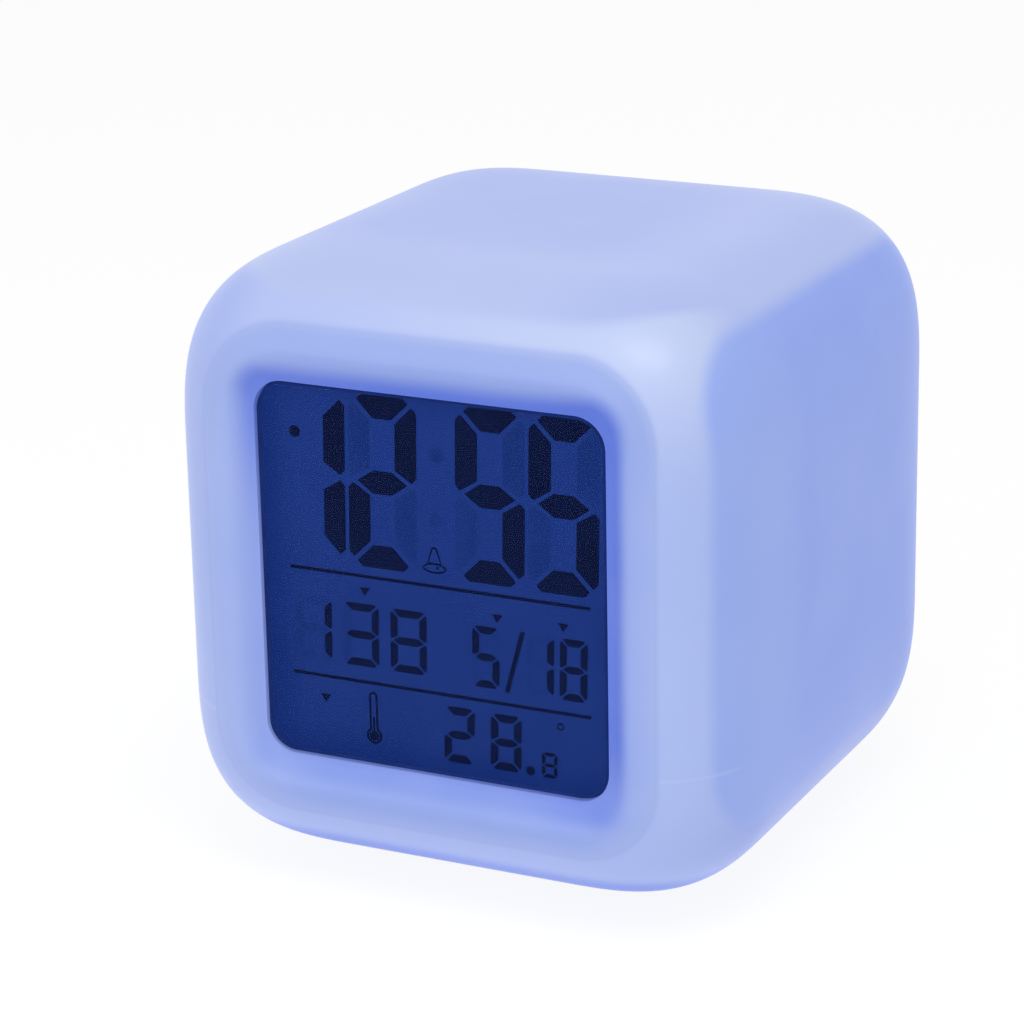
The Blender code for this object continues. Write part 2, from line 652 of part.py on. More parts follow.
def make_lens(finish, parent):
    centre = (0.0, WINDOW_CENTRE_Z)
    land = rounded_rectangle(LENS_WIDTH, LENS_HEIGHT, LENS_CORNER, centre)
    flange = rounded_rectangle(FLANGE_WIDTH, FLANGE_HEIGHT, WINDOW_CORNER + LENS_FLANGE_WIDTH, centre)
    sections = [
        (LENS_FRONT_Y, land),
        (FLANGE_FRONT_Y, land),
        (FLANGE_FRONT_Y, flange),
        (SURROUND_BACK_Y, flange),
    ]
    piece("window_lens", loft(bmesh.new(), "Y", sections), finish, parent)


def make_display(finishes, parent):
    """LCD glass, its frame, the light sheet behind it and the rubber connector below that."""
    half = GLASS_WIDTH / 2
    bottom = WINDOW_CENTRE_Z - GLASS_HEIGHT / 2
    top = WINDOW_CENTRE_Z + GLASS_HEIGHT / 2
    full = rectangle(-half, half, bottom, top)
    short = rectangle(-half, half, bottom + GLASS_LEDGE, top)
    sections = [(GLASS_FRONT_Y, full), (GLASS_STEP_Y, full), (GLASS_STEP_Y, short), (GLASS_BACK_Y, short)]
    piece("lcd_glass", loft(bmesh.new(), "Y", sections), finishes["display"], parent)

    sheet = prism(bmesh.new(), "Y", short, DIFFUSER_FRONT_Y, DIFFUSER_BACK_Y)
    piece("light_sheet", sheet, finishes["white"], parent)

    centre = (0.0, WINDOW_CENTRE_Z)
    outer = rounded_rectangle(FRAME_WIDTH, FRAME_HEIGHT, FRAME_WALL, centre, 2)
    inner = rounded_rectangle(GLASS_WIDTH + 2 * GAP, GLASS_HEIGHT + 2 * GAP, GAP, centre, 2)
    sections = [(GLASS_FRONT_Y, outer), (FRAME_BACK_Y, outer), (FRAME_BACK_Y, inner), (GLASS_FRONT_Y, inner)]
    piece("lcd_frame", loft(bmesh.new(), "Y", sections, closed=True), finishes["white"], parent)

    low = (-ZEBRA_LENGTH / 2, GLASS_STEP_Y + GAP, bottom + GAP)
    high = (ZEBRA_LENGTH / 2, FRAME_BACK_Y, bottom + GAP + ZEBRA_HEIGHT)
    piece("rubber_connector", block(bmesh.new(), low, high), finishes["rubber"], parent)


def make_main_board(finishes, parent):
    """Upright circuit board behind the display, with its sealed chip and four screws."""
    centre = (0.0, WINDOW_CENTRE_Z)
    outline = rounded_rectangle(MAIN_BOARD_WIDTH, MAIN_BOARD_HEIGHT, MAIN_BOARD_CORNER, centre, 3)
    board = prism(bmesh.new(), "Y", outline, MAIN_BOARD_FRONT_Y, MAIN_BOARD_BACK_Y)
    board = piece("main_board", board, finishes["board"], parent)
    holes = bmesh.new()
    for x, z in board_posts():
        outline = circle(SMALL_SHANK_RADIUS + GAP, SMALL_SIDES, (x, z))
        prism(holes, "Y", outline, MAIN_BOARD_FRONT_Y - GAP, MAIN_BOARD_BACK_Y + GAP)
    boolean(board, tool("main_board_holes", holes, parent))

    start = MAIN_BOARD_BACK_Y + GAP
    chip = [
        (start, circle(CHIP_RADIUS, ROUND_SIDES, centre)),
        (start + CHIP_SHOULDER_HEIGHT, circle(CHIP_SHOULDER_RADIUS, ROUND_SIDES, centre)),
        (start + CHIP_HEIGHT, circle(CHIP_TOP_RADIUS, ROUND_SIDES, centre)),
    ]
    piece("controller_chip", loft(bmesh.new(), "Y", chip), finishes["black"], parent)
    for number, (x, z) in enumerate(board_posts(), 1):
        make_screw(f"board_screw_{number}", "small", finishes, parent, (x, start, z), facing_back=True)


def make_screw(name, kind, finishes, parent, place, facing_back):
    """A pan-head screw whose head stands on the given place."""
    sizes = {
        "small": (SMALL_HEAD_RADIUS, SMALL_HEAD_HEIGHT, SMALL_SHANK_RADIUS, SMALL_SHANK_LENGTH),
        "cover": (COVER_HEAD_RADIUS, COVER_HEAD_HEIGHT, COVER_SHANK_RADIUS, COVER_SHANK_LENGTH),
    }
    head, height, shank, length = sizes[kind]
    sections = [
        (-length, circle(shank * SCREW_TIP_SHARE, SMALL_SIDES)),
        (-length + shank, circle(shank, SMALL_SIDES)),
        (0.0, circle(shank, SMALL_SIDES)),
        (0.0, circle(head, SMALL_SIDES)),
        (height * SCREW_EDGE_SHARE, circle(head, SMALL_SIDES)),
        (height, circle(head * SCREW_CROWN_SHARE, SMALL_SIDES)),
        (height, circle(DRIVE_RADIUS, SMALL_SIDES)),
        (height - DRIVE_DEPTH, circle(DRIVE_RADIUS * DRIVE_FLOOR_SHARE, SMALL_SIDES)),
    ]
    turn = (-math.pi / 2, 0, 0) if facing_back else (0, 0, 0)
    return piece(name, loft(bmesh.new(), "Z", sections), finishes["steel"], parent, place, turn)


def make_base(finishes, base):
    """Base plate with a flange that stays inside the shell, its feet and its springs."""
    land = rounded_rectangle(BASE_WIDTH, BASE_DEPTH, BASE_CORNER)
    flange = base_outline(0.0)
    sections = [(BASE_BOTTOM_Z, land), (BASE_FLANGE_Z, land), (BASE_FLANGE_Z, flange), (BASE_TOP_Z, flange)]
    plate = piece("base_plate", loft(bmesh.new(), "Z", sections), finishes["white"], base)
    pins = bmesh.new()
    for place in four_corners(SPRING_SPREAD_X, SPRING_SPREAD_Y):
        outline = circle(SPRING_PIN_RADIUS, SMALL_SIDES, place)
        prism(pins, "Z", outline, BASE_FLANGE_Z, BASE_TOP_Z + SPRING_PIN_HEIGHT)
    prism(pins, "Z", circle(SNOOZE_BOSS_RADIUS), BASE_FLANGE_Z, SNOOZE_PLUNGER_Z - GAP)
    boolean(plate, tool("base_pins", pins, base), "UNION")

    for number, (x, y) in enumerate(four_corners(FOOT_SPREAD_X, FOOT_SPREAD_Y), 1):
        foot = [
            (0.0, circle(FOOT_RADIUS - FOOT_CHAMFER)),
            (FOOT_CHAMFER, circle(FOOT_RADIUS)),
            (FOOT_HEIGHT, circle(FOOT_RADIUS)),
        ]
        piece(f"foot_{number}", loft(bmesh.new(), "Z", foot), finishes["rubber"], base, (x, y, 0))

    wire = SPRING_WIRE / 2
    for number, (x, y) in enumerate(four_corners(SPRING_SPREAD_X, SPRING_SPREAD_Y), 1):
        points = helix("Z", wire, SPRING_LENGTH - 2 * wire, SPRING_RADIUS, SPRING_RADIUS, SPRING_TURNS)
        coil = tube(bmesh.new(), points, wire, 6)
        piece(f"base_spring_{number}", coil, finishes["steel"], base, (x, y, SPRING_BOTTOM_Z))

    end = SNOOZE_SWITCH_Z + PLUNGER_SUNK
    plunger = prism(bmesh.new(), "Z", circle(PLUNGER_RADIUS, SMALL_SIDES), SNOOZE_PLUNGER_Z, end)
    piece("snooze_plunger", plunger, finishes["black"], base)


def make_switch(name, finish, parent, place, turn):
    """A push switch body, its contact side at z = 0 and the plunger's hole in its top."""
    half = SWITCH_SIZE / 2
    body = block(bmesh.new(), (-half, -half, 0), (half, half, SWITCH_HEIGHT))
    body = piece(name, body, finish, parent, place, turn)
    hole = bmesh.new()
    depth = PLUNGER_SUNK + max(BUTTON_TRAVEL, PRESS_TRAVEL) + PLUNGER_SPARE
    outline = circle(PLUNGER_RADIUS + GAP, SMALL_SIDES)
    prism(hole, "Z", outline, SWITCH_HEIGHT - depth, SWITCH_HEIGHT + GAP)
    return boolean(body, tool(name + "_hole", hole, body))


def make_chassis(finishes, parent):
    """Inner floor: it takes the springs, and carries the lamp board and the snooze switch."""
    middle = (0.0, (CHASSIS_FRONT_Y + CHASSIS_BACK_Y) / 2)
    depth = CHASSIS_BACK_Y - CHASSIS_FRONT_Y
    outline = rounded_rectangle(CHASSIS_WIDTH, depth, CHASSIS_CORNER, middle)
    plate = prism(bmesh.new(), "Z", outline, CHASSIS_BOTTOM_Z, CHASSIS_TOP_Z)
    plate = piece("chassis", plate, finishes["white"], parent)
    pins = bmesh.new()
    for place in four_corners(SPRING_SPREAD_X, SPRING_SPREAD_Y):
        outline = circle(SPRING_PIN_RADIUS, SMALL_SIDES, place)
        prism(pins, "Z", outline, CHASSIS_BOTTOM_Z - SPRING_PIN_HEIGHT, CHASSIS_TOP_Z - GAP)
    inset = 2 * LAMP_PILLAR_INSET
    for x, y in four_corners(LAMP_BOARD_WIDTH - inset, LAMP_BOARD_DEPTH - inset):
        outline = circle(LAMP_PILLAR_RADIUS, SMALL_SIDES, (x, y + LAMP_BOARD_Y))
        prism(pins, "Z", outline, CHASSIS_BOTTOM_Z + GAP, CHASSIS_TOP_Z + LAMP_PILLAR_HEIGHT)
    boolean(plate, tool("chassis_pins", pins, parent), "UNION")
    holes = bmesh.new()
    for place in chassis_bosses():
        outline = circle(SMALL_SHANK_RADIUS + GAP, SMALL_SIDES, place)
        prism(holes, "Z", outline, CHASSIS_BOTTOM_Z - GAP, CHASSIS_TOP_Z + GAP)
    boolean(plate, tool("chassis_holes", holes, parent))
    places = chassis_bosses()
    for number, (x, y) in enumerate((places[0], places[3]), 1):
        place = (x, y, CHASSIS_TOP_Z + GAP)
        make_screw(f"chassis_screw_{number}", "small", finishes, parent, place, facing_back=False)

    low = (-LAMP_BOARD_WIDTH / 2, LAMP_BOARD_Y - LAMP_BOARD_DEPTH / 2, LAMP_BOARD_Z)
    high = (LAMP_BOARD_WIDTH / 2, LAMP_BOARD_Y + LAMP_BOARD_DEPTH / 2, LAMP_BOARD_Z + LAMP_BOARD_THICKNESS)
    piece("lamp_board", block(bmesh.new(), low, high), finishes["board"], parent)
    for number in range(LAMP_COUNT):
        lamp = [
            (0.0, circle(LAMP_RADIUS + LAMP_RIM, SMALL_SIDES)),
            (LAMP_RIM_HEIGHT, circle(LAMP_RADIUS + LAMP_RIM, SMALL_SIDES)),
            (LAMP_RIM_HEIGHT, circle(LAMP_RADIUS, SMALL_SIDES)),
        ]
        for step in range(4):
            angle = math.radians(25 * step)
            height = LAMP_STRAIGHT + LAMP_RADIUS * math.sin(angle)
            lamp.append((height, circle(LAMP_RADIUS * math.cos(angle), SMALL_SIDES)))
        place = ((number - (LAMP_COUNT - 1) / 2) * LAMP_PITCH, LAMP_BOARD_Y, LAMP_Z)
        piece(f"lamp_{number + 1}", loft(bmesh.new(), "Z", lamp), finishes["lamp"], parent, place)

    place = (0, 0, CHASSIS_BOTTOM_Z - GAP)
    make_switch("snooze_switch", finishes["black"], parent, place, (math.pi, 0, 0))


def door_recess():
    """Outline of the recess that the battery door closes, with room round its hinge."""
    bottom = DOOR_HINGE_Z - DOOR_THICKNESS / 2 - GAP
    return rectangle(-DOOR_RECESS_WIDTH / 2, DOOR_RECESS_WIDTH / 2, bottom, DOOR_TOP_Z + GAP)


def make_rear_cover(finishes, parent):
    """Rear cover with the battery pocket moulded on, two hooks, and posts for the button board."""
    centre = (0.0, COVER_CENTRE_Z)
    outline = rounded_rectangle(COVER_WIDTH, COVER_HEIGHT, COVER_CORNER, centre)
    cover = prism(bmesh.new(), "Y", outline, COVER_IN_Y, COVER_OUT_Y)
    cover = piece("rear_cover", cover, finishes["white"], parent)

    pocket = bmesh.new()
    low = (-POCKET_OUTER_WIDTH / 2, POCKET_BACK_Y, POCKET_OUTER_BOTTOM_Z)
    high = (POCKET_OUTER_WIDTH / 2, COVER_IN_Y + GAP, POCKET_OUTER_TOP_Z)
    block(pocket, low, high)
    boolean(cover, tool("pocket_block", pocket, parent), "UNION")

    added = bmesh.new()
    for side in (-1, 1):
        middle = side * HOOK_SPREAD / 2
        hook_out = LEDGE_IN_Y - GAP
        low = (middle - HOOK_WIDTH / 2, hook_out - HOOK_THICKNESS, POCKET_OUTER_BOTTOM_Z - HOOK_REACH)
        high = (middle + HOOK_WIDTH / 2, hook_out, POCKET_OUTER_BOTTOM_Z + POCKET_WALL / 2)
        block(added, low, high)
    for x, z in cover_posts():
        post = [
            (BUTTON_BOARD_IN_Y - COVER_POST_TIP_LENGTH + BUTTON_BOARD_THICKNESS, COVER_POST_TIP),
            (BUTTON_BOARD_OUT_Y + GAP, COVER_POST_TIP),
            (BUTTON_BOARD_OUT_Y + GAP, COVER_POST_RADIUS),
            (COVER_IN_Y + GAP, COVER_POST_RADIUS),
        ]
        loft(added, "Y", [(y, circle(radius, SMALL_SIDES, (x, z))) for y, radius in post])
    boolean(cover, tool("cover_hooks", added, parent), "UNION")

    recess = prism(bmesh.new(), "Y", door_recess(), DOOR_SEAT_Y, COVER_OUT_Y + GAP)
    boolean(cover, tool("door_recess", recess, parent))
    cavity = bmesh.new()
    low = (-POCKET_WIDTH / 2, POCKET_FLOOR_Y, POCKET_BOTTOM_Z)
    block(cavity, low, (POCKET_WIDTH / 2, COVER_OUT_Y, POCKET_TOP_Z))
    boolean(cover, tool("pocket_cavity", cavity, parent))

    notches = bmesh.new()
    room = DOOR_PIN_RADIUS + GAP
    inner = DOOR_RECESS_WIDTH / 2 - GAP
    outer = DOOR_WIDTH / 2 + DOOR_PIN_LENGTH + GAP
    for side in (-1, 1):
        left, right = sorted((side * inner, side * outer))
        low = (left, DOOR_HINGE_Y - room, DOOR_HINGE_Z - room)
        block(notches, low, (right, COVER_OUT_Y + GAP, DOOR_HINGE_Z + room))
    boolean(cover, tool("hinge_notches", notches, parent))

    holes = bmesh.new()
    start, end = COVER_IN_Y - GAP, COVER_OUT_Y + GAP
    for x in button_places():
        prism(holes, "Y", circle(BUTTON_RADIUS + GAP, ROUND_SIDES, (x, BUTTON_ROW_Z)), start, end)
    for i in range(SOUND_HOLE_COUNT):
        x = SOUND_HOLES_X + (i - (SOUND_HOLE_COUNT - 1) / 2) * SOUND_HOLE_PITCH
        prism(holes, "Y", circle(SOUND_HOLE_RADIUS, 8, (x, SWITCH_ROW_Z)), start, end)
    half_slot = (SLIDE_STEM + SLIDE_TRAVEL) / 2 + GAP
    half_stem = SLIDE_STEM / 2 + GAP
    slot = rectangle(
        SLIDE_CENTRE_X - half_slot,
        SLIDE_CENTRE_X + half_slot,
        SWITCH_ROW_Z - half_stem,
        SWITCH_ROW_Z + half_stem,
    )
    prism(holes, "Y", slot, start, end)
    seat = COVER_OUT_Y - COVER_HEAD_SUNK
    for x, z in cover_screws():
        shank = circle(COVER_SHANK_RADIUS + GAP, SMALL_SIDES, (x, z))
        head = circle(COVER_HEAD_RADIUS + GAP, SMALL_SIDES, (x, z))
        loft(holes, "Y", [(start, shank), (seat, shank), (seat, head), (end, head)])
    boolean(cover, tool("cover_holes", holes, parent))
    for number, (x, z) in enumerate(cover_screws(), 1):
        place = (x, seat + GAP, z)
        make_screw(f"cover_screw_{number}", "cover", finishes, parent, place, facing_back=True)


def cover_posts():
    """Places of the four posts that hold the button board."""
    high = BUTTON_ROW_Z + BUTTON_BOARD_ABOVE - COVER_POST_INSET
    side = BUTTON_BOARD_WIDTH / 2 - COVER_POST_INSET
    return [(-BUTTON_PITCH, high), (BUTTON_PITCH, high), (-side, SWITCH_ROW_Z), (side, SWITCH_ROW_Z)]


def make_battery_door(finish, hinge):
    """Battery door, built round its hinge: the carrier stands on the hinge axis."""
    radius = DOOR_THICKNESS / 2
    top = DOOR_TOP_Z - DOOR_HINGE_Z
    arc = [math.radians(180 + 15 * i) for i in range(13)]
    profile = [(radius * math.cos(angle), radius * math.sin(angle)) for angle in arc]
    profile += [(radius, top), (-radius, top)]
    plate = prism(bmesh.new(), "X", profile, -DOOR_WIDTH / 2, DOOR_WIDTH / 2)
    door = piece("battery_door", plate, finish, hinge)

    added = bmesh.new()
    for side in (-1, 1):
        inner = side * (DOOR_WIDTH / 2 - DOOR_PIN_LENGTH)
        outer = side * (DOOR_WIDTH / 2 + DOOR_PIN_LENGTH)
        prism(added, "X", circle(DOOR_PIN_RADIUS, SMALL_SIDES), *sorted((inner, outer)))
    for i in range(DOOR_RIB_COUNT):
        middle = top - DOOR_NOTCH_RADIUS - (i + 1) * DOOR_RIB_PITCH
        low = (-DOOR_RIB_WIDTH / 2, 0, middle - DOOR_RIB_SIZE / 2)
        block(added, low, (DOOR_RIB_WIDTH / 2, radius + DOOR_RIB_SIZE, middle + DOOR_RIB_SIZE / 2))
    boolean(door, tool("door_pins", added, hinge), "UNION")
    notch = prism(
        bmesh.new(),
        "Y",
        circle(DOOR_NOTCH_RADIUS, ROUND_SIDES, (0.0, top)),
        radius - DOOR_NOTCH_DEPTH,
        radius + GAP,
    )
    boolean(door, tool("door_notch", notch, hinge))


def cell_start(row):
    """Where the flat end of a row's cell lies, and which way its nub points."""
    direction = 1 if row % 2 == 0 else -1
    reach = POCKET_WIDTH / 2 - 2 * GAP - CONTACT_THICKNESS
    return direction * (reach - CELL_LENGTH), direction


def make_cells(finish, parent):
    for row in range(CELL_COUNT):
        start, direction = cell_start(row)
        body_end = CELL_LENGTH - CELL_NUB_LENGTH
        sections = [
            (0.0, circle(CELL_RADIUS - GAP)),
            (GAP, circle(CELL_RADIUS)),
            (body_end - GAP, circle(CELL_RADIUS)),
            (body_end, circle(CELL_RADIUS - GAP)),
            (body_end, circle(CELL_NUB_RADIUS)),
            (CELL_LENGTH, circle(CELL_NUB_RADIUS)),
        ]
        place = (start, CELL_Y, FIRST_CELL_Z + row * CELL_PITCH)
        turn = (0, direction * math.pi / 2, 0)
        piece(f"battery_cell_{row + 1}", loft(bmesh.new(), "Z", sections), finish, parent, place, turn)


def make_contacts(finish, parent):
    """Contact plates that chain the cells. A cell's flat end meets its plate through a coil."""
    wall = POCKET_WIDTH / 2 - GAP
    for number in range(1, CELL_COUNT + 2):
        side = -1 if number % 2 else 1
        rows = [row for row in (number - 2, number - 1) if 0 <= row < CELL_COUNT]
        bottom = FIRST_CELL_Z + rows[0] * CELL_PITCH - CONTACT_HEIGHT / 2
        top = FIRST_CELL_Z + rows[-1] * CELL_PITCH + CONTACT_HEIGHT / 2
        left, right = sorted((side * wall, side * (wall - CONTACT_THICKNESS)))
        low = (left, CELL_Y - CONTACT_DEPTH / 2, bottom)
        plate = block(bmesh.new(), low, (right, CELL_Y + CONTACT_DEPTH / 2, top))
        plate = piece(f"battery_contact_{number}", plate, finish, parent)
        for row in rows:
            start, direction = cell_start(row)
            if direction == side:
                continue
            wire = CONTACT_SPRING_WIRE / 2
            length = CONTACT_SPRING_LENGTH + CONTACT_THICKNESS - GAP - wire
            radii = (CONTACT_SPRING_WIDE, CONTACT_SPRING_NARROW)
            points = helix("X", 0.0, direction * length, *radii, CONTACT_SPRING_TURNS)
            coil = tube(bmesh.new(), points, wire, 6)
            place = (side * (wall - CONTACT_THICKNESS / 2), CELL_Y, FIRST_CELL_Z + row * CELL_PITCH)
            boolean(plate, tool(f"contact_coil_{row + 1}", coil, parent, place), "UNION")


def make_button_board(finishes, parent):
    """Board behind the rear cover with four push switches, the slide switch and the sounder."""
    half = BUTTON_BOARD_WIDTH / 2
    bottom, top = SWITCH_ROW_Z - BUTTON_BOARD_BELOW, BUTTON_ROW_Z + BUTTON_BOARD_ABOVE
    board = prism(bmesh.new(), "Y", rectangle(-half, half, bottom, top), BUTTON_BOARD_IN_Y, BUTTON_BOARD_OUT_Y)
    board = piece("button_board", board, finishes["board"], parent)
    holes = bmesh.new()
    for place in cover_posts():
        outline = circle(COVER_POST_TIP + GAP, SMALL_SIDES, place)
        prism(holes, "Y", outline, BUTTON_BOARD_IN_Y - GAP, BUTTON_BOARD_OUT_Y + GAP)
    boolean(board, tool("button_board_holes", holes, parent))
    for number, x in enumerate(button_places(), 1):
        place = (x, SWITCH_IN_Y, BUTTON_ROW_Z)
        make_switch(f"button_switch_{number}", finishes["black"], parent, place, (-math.pi / 2, 0, 0))

    low = (SLIDE_CENTRE_X - SLIDE_BODY_WIDTH / 2, SWITCH_IN_Y, SWITCH_ROW_Z - SLIDE_BODY_HEIGHT / 2)
    high = (SLIDE_CENTRE_X + SLIDE_BODY_WIDTH / 2, SWITCH_OUT_Y, SWITCH_ROW_Z + SLIDE_BODY_HEIGHT / 2)
    body = piece("light_switch", block(bmesh.new(), low, high), finishes["black"], parent)
    slot = bmesh.new()
    half_slot = (SLIDE_STEM + SLIDE_TRAVEL) / 2 + GAP
    room = SLIDE_STEM / 2 + GAP
    low = (SLIDE_CENTRE_X - half_slot, SWITCH_OUT_Y - PLUNGER_SUNK - GAP, SWITCH_ROW_Z - room)
    block(slot, low, (SLIDE_CENTRE_X + half_slot, SWITCH_OUT_Y + GAP, SWITCH_ROW_Z + room))
    boolean(body, tool("light_switch_slot", slot, parent))

    centre = (SOUNDER_X, (SWITCH_ROW_Z + BUTTON_ROW_Z) / 2)
    out = BUTTON_BOARD_IN_Y - GAP
    sounder = prism(bmesh.new(), "Y", circle(SOUNDER_RADIUS, ROUND_SIDES, centre), out - SOUNDER_HEIGHT, out)
    sounder = piece("sounder", sounder, finishes["black"], parent)
    hole = circle(SOUND_HOLE_RADIUS, SMALL_SIDES, centre)
    hole = prism(bmesh.new(), "Y", hole, out - SOUNDER_HEIGHT - GAP, out - SOUNDER_HEIGHT / 2)
    boolean(sounder, tool("sounder_hole", hole, parent))


def make_buttons(finishes, housing):
    """Four round caps with their plungers, each pair on its own carrier."""
    for number, x in enumerate(button_places(), 1):
        mover = carrier(f"button_{number}_axis", housing, (x, COVER_OUT_Y, BUTTON_ROW_Z))
        flange = BUTTON_RADIUS + BUTTON_FLANGE_WIDTH
        cap = [
            (BUTTON_FLANGE_IN_Y, flange),
            (BUTTON_FLANGE_OUT_Y, flange),
            (BUTTON_FLANGE_OUT_Y, BUTTON_RADIUS),
            (COVER_OUT_Y + BUTTON_PROUD - BUTTON_CHAMFER, BUTTON_RADIUS),
            (COVER_OUT_Y + BUTTON_PROUD, BUTTON_RADIUS - BUTTON_CHAMFER),
        ]
        sections = [(y - COVER_OUT_Y, circle(radius)) for y, radius in cap]
        piece(f"button_cap_{number}", loft(bmesh.new(), "Y", sections), finishes["button"], mover)
        start = SWITCH_OUT_Y - PLUNGER_SUNK - COVER_OUT_Y
        end = BUTTON_FLANGE_IN_Y - GAP - COVER_OUT_Y
        plunger = prism(bmesh.new(), "Y", circle(PLUNGER_RADIUS, SMALL_SIDES), start, end)
        piece(f"button_plunger_{number}", plunger, finishes["black"], mover)


def make_light_knob(finishes, housing):
    """Slide knob: a stem through the cover's slot with a flat tab outside."""
    place = (SLIDE_CENTRE_X - SLIDE_TRAVEL / 2, COVER_OUT_Y, SWITCH_ROW_Z)
    mover = carrier("light_switch_axis", housing, place)
    stem_half = SLIDE_STEM / 2
    stem = rectangle(-stem_half, stem_half, -stem_half, stem_half)
    half_width, half_height = SLIDE_TAB_WIDTH / 2, SLIDE_TAB_HEIGHT / 2
    tab = rectangle(-half_width, half_width, -half_height, half_height)
    start = SWITCH_OUT_Y - PLUNGER_SUNK - COVER_OUT_Y
    sections = [(start, stem), (GAP, stem), (GAP, tab), (GAP + SLIDE_TAB_THICKNESS, tab)]
    piece("light_switch_knob", loft(bmesh.new(), "Y", sections), finishes["button"], mover)


def hanging(start, end, sag):
    """Points from start to end that dip by the sag and leave both ends level."""
    points = []
    for i in range(LEAD_POINTS + 1):
        share = i / LEAD_POINTS
        blend = share * share * (3 - 2 * share)
        height = start.z + (end.z - start.z) * blend - sag * math.sin(math.pi * share) ** 2
        points.append(Vector((start.x, start.y + (end.y - start.y) * share, height)))
    return points


def make_leads(finishes, parent):
    """Ribbon from the button board, and the battery lead from the pocket, to the main board."""
    front = MAIN_BOARD_BACK_Y + GAP
    rear = Vector((RIBBON_X, BUTTON_BOARD_IN_Y - GAP, SWITCH_ROW_Z))
    points = hanging(rear, Vector((RIBBON_X, front, WINDOW_CENTRE_Z + RIBBON_RISE)), RIBBON_SAG)
    top = [(point.y, point.z + RIBBON_THICKNESS / 2) for point in points]
    bottom = [(point.y, point.z - RIBBON_THICKNESS / 2) for point in reversed(points)]
    ends = (RIBBON_X - RIBBON_WIDTH / 2, RIBBON_X + RIBBON_WIDTH / 2)
    piece("ribbon_lead", prism(bmesh.new(), "X", top + bottom, *ends), finishes["lead"], parent)

    height = WINDOW_CENTRE_Z - LEAD_DROP
    rear = Vector((LEAD_X, POCKET_BACK_Y - GAP, height))
    points = hanging(rear, Vector((LEAD_X, front, height)), LEAD_SAG)
    piece("battery_lead", tube(bmesh.new(), points, LEAD_RADIUS, 8), finishes["lead"], parent)


def make_finishes():
    return {
        "shell": material("milky_plastic", (0.44, 0.53, 0.86), 0.30, glow=0.15),
        "clear": material("clear_plastic", (0.12, 0.20, 0.55), 0.08, alpha=0.4),
        "display": material("display_glass", (0.011, 0.032, 0.17), 0.15, glow=0.2),
        "white": material("white_plastic", (0.80, 0.81, 0.83), 0.45),
        "button": material("button_plastic", (0.62, 0.64, 0.68), 0.40),
        "black": material("black_plastic", (0.02, 0.02, 0.022), 0.50),
        "rubber": material("rubber", (0.05, 0.05, 0.05), 0.85),
        "board": material("circuit_board", (0.03, 0.20, 0.08), 0.50),
        "steel": material("plated_steel", (0.62, 0.62, 0.64), 0.30, metallic=1.0),
        "lamp": material("lamp_resin", (0.50, 0.62, 1.0), 0.20, glow=1.0),
        "cell": material("cell_sleeve", (0.10, 0.11, 0.13), 0.35, metallic=0.3),
        "lead": material("lead_insulation", (0.45, 0.45, 0.47), 0.60),
    }


def main():
    for old in list(bpy.data.objects):
        bpy.data.objects.remove(old)
    finishes = make_finishes()
    base = carrier("base_axis")
    housing = carrier("housing_axis")
    hinge = carrier("battery_door_axis", housing, (0, DOOR_HINGE_Y, DOOR_HINGE_Z))
    make_base(finishes, base)
    make_shell(finishes["shell"], housing)
    make_lens(finishes["clear"], housing)
    make_display(finishes, housing)
    make_main_board(finishes, housing)
    make_chassis(finishes, housing)
    make_rear_cover(finishes, housing)
    make_battery_door(finishes["white"], hinge)
    make_cells(finishes["cell"], housing)
    make_contacts(finishes["steel"], housing)
    make_button_board(finishes, housing)
    make_buttons(finishes, housing)
    make_light_knob(finishes, housing)
    make_leads(finishes, housing)


main()
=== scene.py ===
# %% [markdown]
# # A cube clock that glows from inside
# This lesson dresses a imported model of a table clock. The clock is a soft, milky cube with a
# sunk window. Behind the window is a dark blue display, and lamps inside make the shell glow.
# Each step says what a piece is, how it could be made, and why this way was chosen.

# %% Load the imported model
import math

import bpy
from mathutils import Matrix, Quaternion, Vector


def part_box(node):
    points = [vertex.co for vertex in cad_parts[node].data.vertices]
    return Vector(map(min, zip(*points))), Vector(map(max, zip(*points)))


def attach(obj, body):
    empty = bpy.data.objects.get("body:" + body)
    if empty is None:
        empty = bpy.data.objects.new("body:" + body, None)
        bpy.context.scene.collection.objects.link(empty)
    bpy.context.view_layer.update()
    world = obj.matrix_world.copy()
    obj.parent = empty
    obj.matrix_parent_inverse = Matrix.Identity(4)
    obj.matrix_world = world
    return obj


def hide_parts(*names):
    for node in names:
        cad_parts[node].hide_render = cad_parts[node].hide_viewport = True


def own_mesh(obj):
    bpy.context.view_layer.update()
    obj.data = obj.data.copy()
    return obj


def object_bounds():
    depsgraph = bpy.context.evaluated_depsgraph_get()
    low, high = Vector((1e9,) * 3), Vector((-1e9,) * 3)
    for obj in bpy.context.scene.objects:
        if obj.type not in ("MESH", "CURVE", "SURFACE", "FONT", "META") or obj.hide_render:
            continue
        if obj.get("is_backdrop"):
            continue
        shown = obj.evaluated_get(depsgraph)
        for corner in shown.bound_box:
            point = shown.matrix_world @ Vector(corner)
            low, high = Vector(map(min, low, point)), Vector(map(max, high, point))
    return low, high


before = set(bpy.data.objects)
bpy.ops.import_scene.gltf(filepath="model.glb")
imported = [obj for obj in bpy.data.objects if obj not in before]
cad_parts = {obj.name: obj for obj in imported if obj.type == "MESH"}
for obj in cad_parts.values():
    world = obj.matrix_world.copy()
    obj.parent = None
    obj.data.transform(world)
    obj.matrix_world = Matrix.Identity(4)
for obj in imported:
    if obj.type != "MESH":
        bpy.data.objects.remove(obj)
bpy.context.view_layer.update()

MM = 0.001


